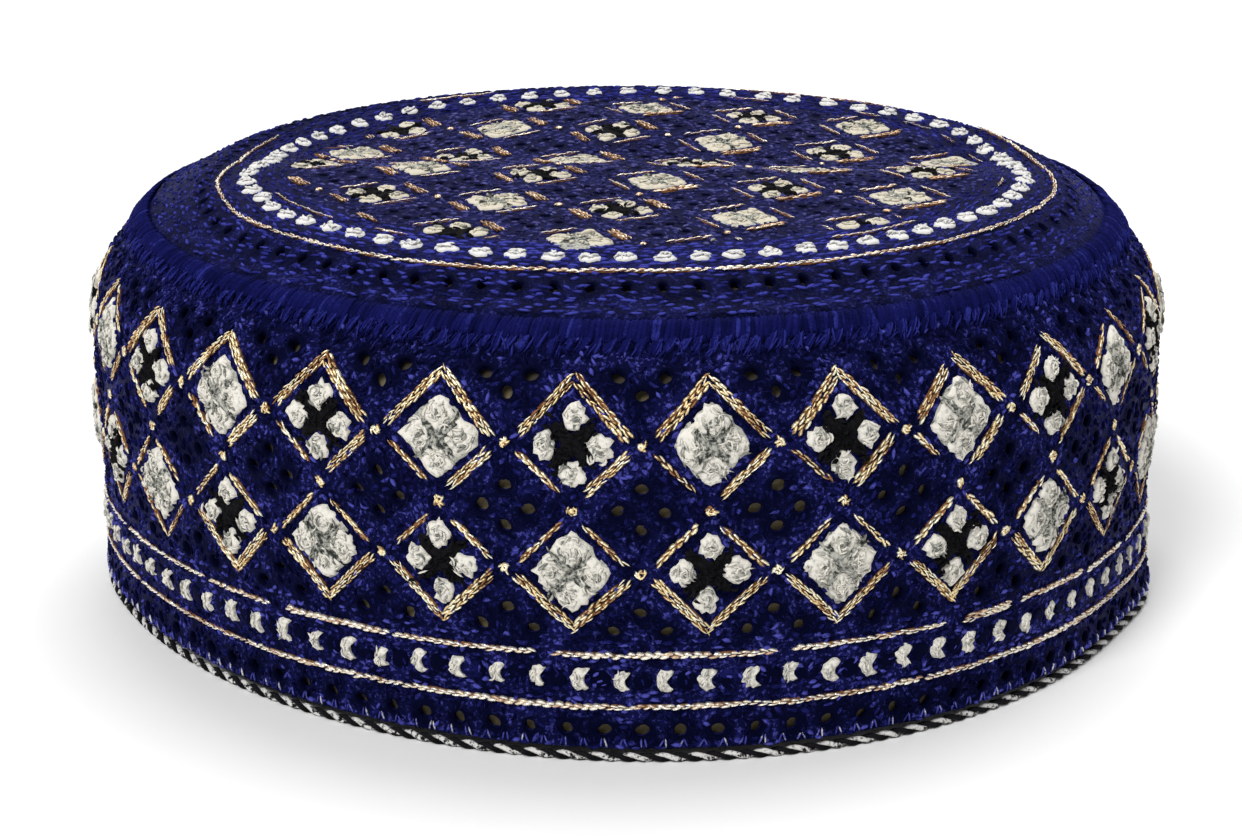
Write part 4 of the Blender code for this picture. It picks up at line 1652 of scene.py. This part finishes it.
class CAP_OT_rim(CapPiece, bpy.types.Operator):
    """Twist the black and silver cord under the band and whip it on with blanket stitches"""

    bl_idname = "cap.rim"
    bl_label = "Rim cord"

    def execute(self, context):
        """Make the cord's two plies and the blanket stitches above it."""
        steps = CORD_TWISTS * CORD_STEPS
        turns = TURN * np.arange(steps) / steps
        foot = SKIN.at(turns, np.zeros(steps), np.zeros(steps))
        outward = np.stack([np.sin(turns), -np.cos(turns), turns * 0.0], 1)
        upward = np.array((0.0, 0.0, 1.0))
        middle = foot - outward * CORD_INSET
        middle[:, 2] = CORD_MIDDLE_Z
        here = np.arange(steps)[:, None] * CORD_SIDES
        following = np.roll(here, -1, 0)
        step = np.arange(CORD_SIDES)
        beside = (step + 1) % CORD_SIDES
        quads = np.stack([here + step, here + beside, following + beside, following + step], 2).reshape(-1, 4)
        angles = TURN * np.arange(CORD_SIDES)[None, :, None] / CORD_SIDES
        places = []
        triangles = []
        tones = []
        for ply in (0, 1):
            phase = -TURN * np.arange(steps) / CORD_STEPS + ply * math.pi
            line = middle + PLY_REACH * (outward * np.cos(phase)[:, None] + upward * np.sin(phase)[:, None])
            ahead = np.roll(line, -1, 0) - np.roll(line, 1, 0)
            ahead /= np.linalg.norm(ahead, axis=1, keepdims=True)
            side = np.cross(ahead, upward)
            side /= np.linalg.norm(side, axis=1, keepdims=True)
            top = np.cross(side, ahead)
            circle = np.cos(angles) * side[:, None] + np.sin(angles) * top[:, None]
            places.append((line[:, None] + PLY_RADIUS * circle).reshape(-1, 3))
            for half in ((0, 1, 2), (0, 2, 3)):
                triangles.append(quads[:, half] + ply * steps * CORD_SIDES)
            # A ply's tone rises where the twist brings it to the top and falls beneath: painted light above,
            # painted shade below
            tones.append(np.repeat(0.5 + 0.4 * np.sin(phase), CORD_SIDES))
        looks = ("black", "silver")
        piece = new_piece("rim_cord_plies", np.concatenate(places), np.concatenate(triangles), looks)
        paint(piece, np.concatenate(tones), np.repeat((0, 1), 2 * len(quads)))
        settle(piece, "rim_cord", "rim_cord_thread")
        stitches = Stitches(17)
        random = stitches.random
        number = BLANKET_STITCHES
        along = np.arange(number) * TURN * BAND_RADIUS / number
        # The leg leaning one way takes a lighter tone than the other: painted light on one leg, painted shade
        # on the other
        for lean, tone in ((0.28, 0.72), (-0.28, 0.45)):
            aside = math.copysign(BLANKET_HALF_GAP, lean)
            places = np.column_stack([along + aside, np.full(number, BLANKET_UP)])
            stitches.lay(
                wrap_round, places, QUARTER + lean + random.normal(0.0, 0.15, number),
                BLANKET_LENGTH, BLANKET_THICK, lift=0.0002, hump=0.00015,
                tone=np.clip(random.normal(tone, 0.15, number), 0.0, 1.0),
            )
        stitches.finish("rim_blanket_stitches", "rim_cord", "rim_cord_thread", "tick")
        return {"FINISHED"}


class CAP_OT_stage(bpy.types.Operator):
    """Set the pale floor, the soft studio light and the camera"""

    bl_idname = "cap.stage"
    bl_label = "Stage"

    def execute(self, context):
        """Make the floor, the lamps, the world and the camera."""
        scene = context.scene
        corners = np.array(((-1.0, -1.0, 0.0), (1.0, -1.0, 0.0), (1.0, 1.0, 0.0), (-1.0, 1.0, 0.0)))
        floor = new_piece("floor", FLOOR_HALF * corners, np.array(((0, 1, 2), (0, 2, 3))), ("floor",))
        for name, place, spread, power in LAMPS:
            self.lamp(name, place, math.radians(spread), power)
        world = bpy.data.worlds.new("studio")
        world.use_nodes = True
        world.node_tree.nodes["Background"].inputs["Color"].default_value = (1.0, 1.0, 1.0, 1.0)
        world.node_tree.nodes["Background"].inputs["Strength"].default_value = WORLD_LIGHT
        scene.world = world
        scene.view_settings.view_transform = "Standard"
        camera = bpy.data.objects.new("camera", bpy.data.cameras.new("camera"))
        scene.collection.objects.link(camera)
        camera.data.sensor_width = SENSOR
        camera.data.lens = SENSOR * CAMERA_FOCUS_PIXELS / PICTURE_WIDTH
        camera.data.clip_start = 0.02
        camera.data.clip_end = 20.0
        flat = math.cos(CAMERA_PITCH)
        ahead = Vector((math.sin(CAMERA_YAW) * flat, math.cos(CAMERA_YAW) * flat, -math.sin(CAMERA_PITCH)))
        level = Vector((math.cos(CAMERA_YAW), -math.sin(CAMERA_YAW), 0.0))
        upright = level.cross(ahead)
        right = level * math.cos(CAMERA_ROLL) + upright * math.sin(CAMERA_ROLL)
        up = upright * math.cos(CAMERA_ROLL) - level * math.sin(CAMERA_ROLL)
        turned = Matrix((right, up, -ahead)).transposed().to_4x4()
        camera.matrix_world = Matrix.Translation(CAMERA_PLACE) @ turned
        scene.camera = camera
        return {"FINISHED"}

    def lamp(self, name, place, spread, power):
        """Hang a soft lamp that lights the cap and the floor evenly from the side of a place."""
        data = bpy.data.lights.new(name, "SUN")
        data.angle = spread
        data.energy = power
        lamp = bpy.data.objects.new(name, data)
        bpy.context.scene.collection.objects.link(lamp)
        lamp.location = place
        lamp.rotation_euler = (Vector(LOOKED_AT) - Vector(place)).to_track_quat("-Z", "Y").to_euler()


OPERATORS = (
    CAP_OT_cloth,
    CAP_OT_ground,
    CAP_OT_gold,
    CAP_OT_motifs,
    CAP_OT_border,
    CAP_OT_seam,
    CAP_OT_rim,
    CAP_OT_stage,
)


class CAP_PT_panel(bpy.types.Panel):
    """Lists the cap's operators and its sizes and colours"""

    bl_idname = "CAP_PT_panel"
    bl_label = "Embroidered cap"
    bl_space_type = "VIEW_3D"
    bl_region_type = "UI"
    bl_category = "Cap"

    def draw(self, context):
        """Draw the buttons and the settings."""
        for operator in OPERATORS:
            self.layout.operator(operator.bl_idname)
        for settings in (context.scene.cap_sizes, context.scene.cap_colours):
            for name in settings.bl_rna.properties.keys():
                if name not in ("rna_type", "name"):
                    self.layout.prop(settings, name)


CLASSES = (CapSizes, CapColours, *OPERATORS, CAP_PT_panel)


def register():
    """Register the classes and hang the settings on the scene."""
    for item in CLASSES:
        bpy.utils.register_class(item)
    bpy.types.Scene.cap_sizes = bpy.props.PointerProperty(type=CapSizes)
    bpy.types.Scene.cap_colours = bpy.props.PointerProperty(type=CapColours)


def unregister():
    """Take the settings off the scene and unregister the classes."""
    del bpy.types.Scene.cap_colours
    del bpy.types.Scene.cap_sizes
    for item in reversed(CLASSES):
        bpy.utils.unregister_class(item)


def main():
    """Build every piece and the stage."""
    register()
    for operator in OPERATORS:
        group, name = operator.bl_idname.split(".")
        getattr(getattr(bpy.ops, group), name)()


if __name__ == "__main__":
    main()
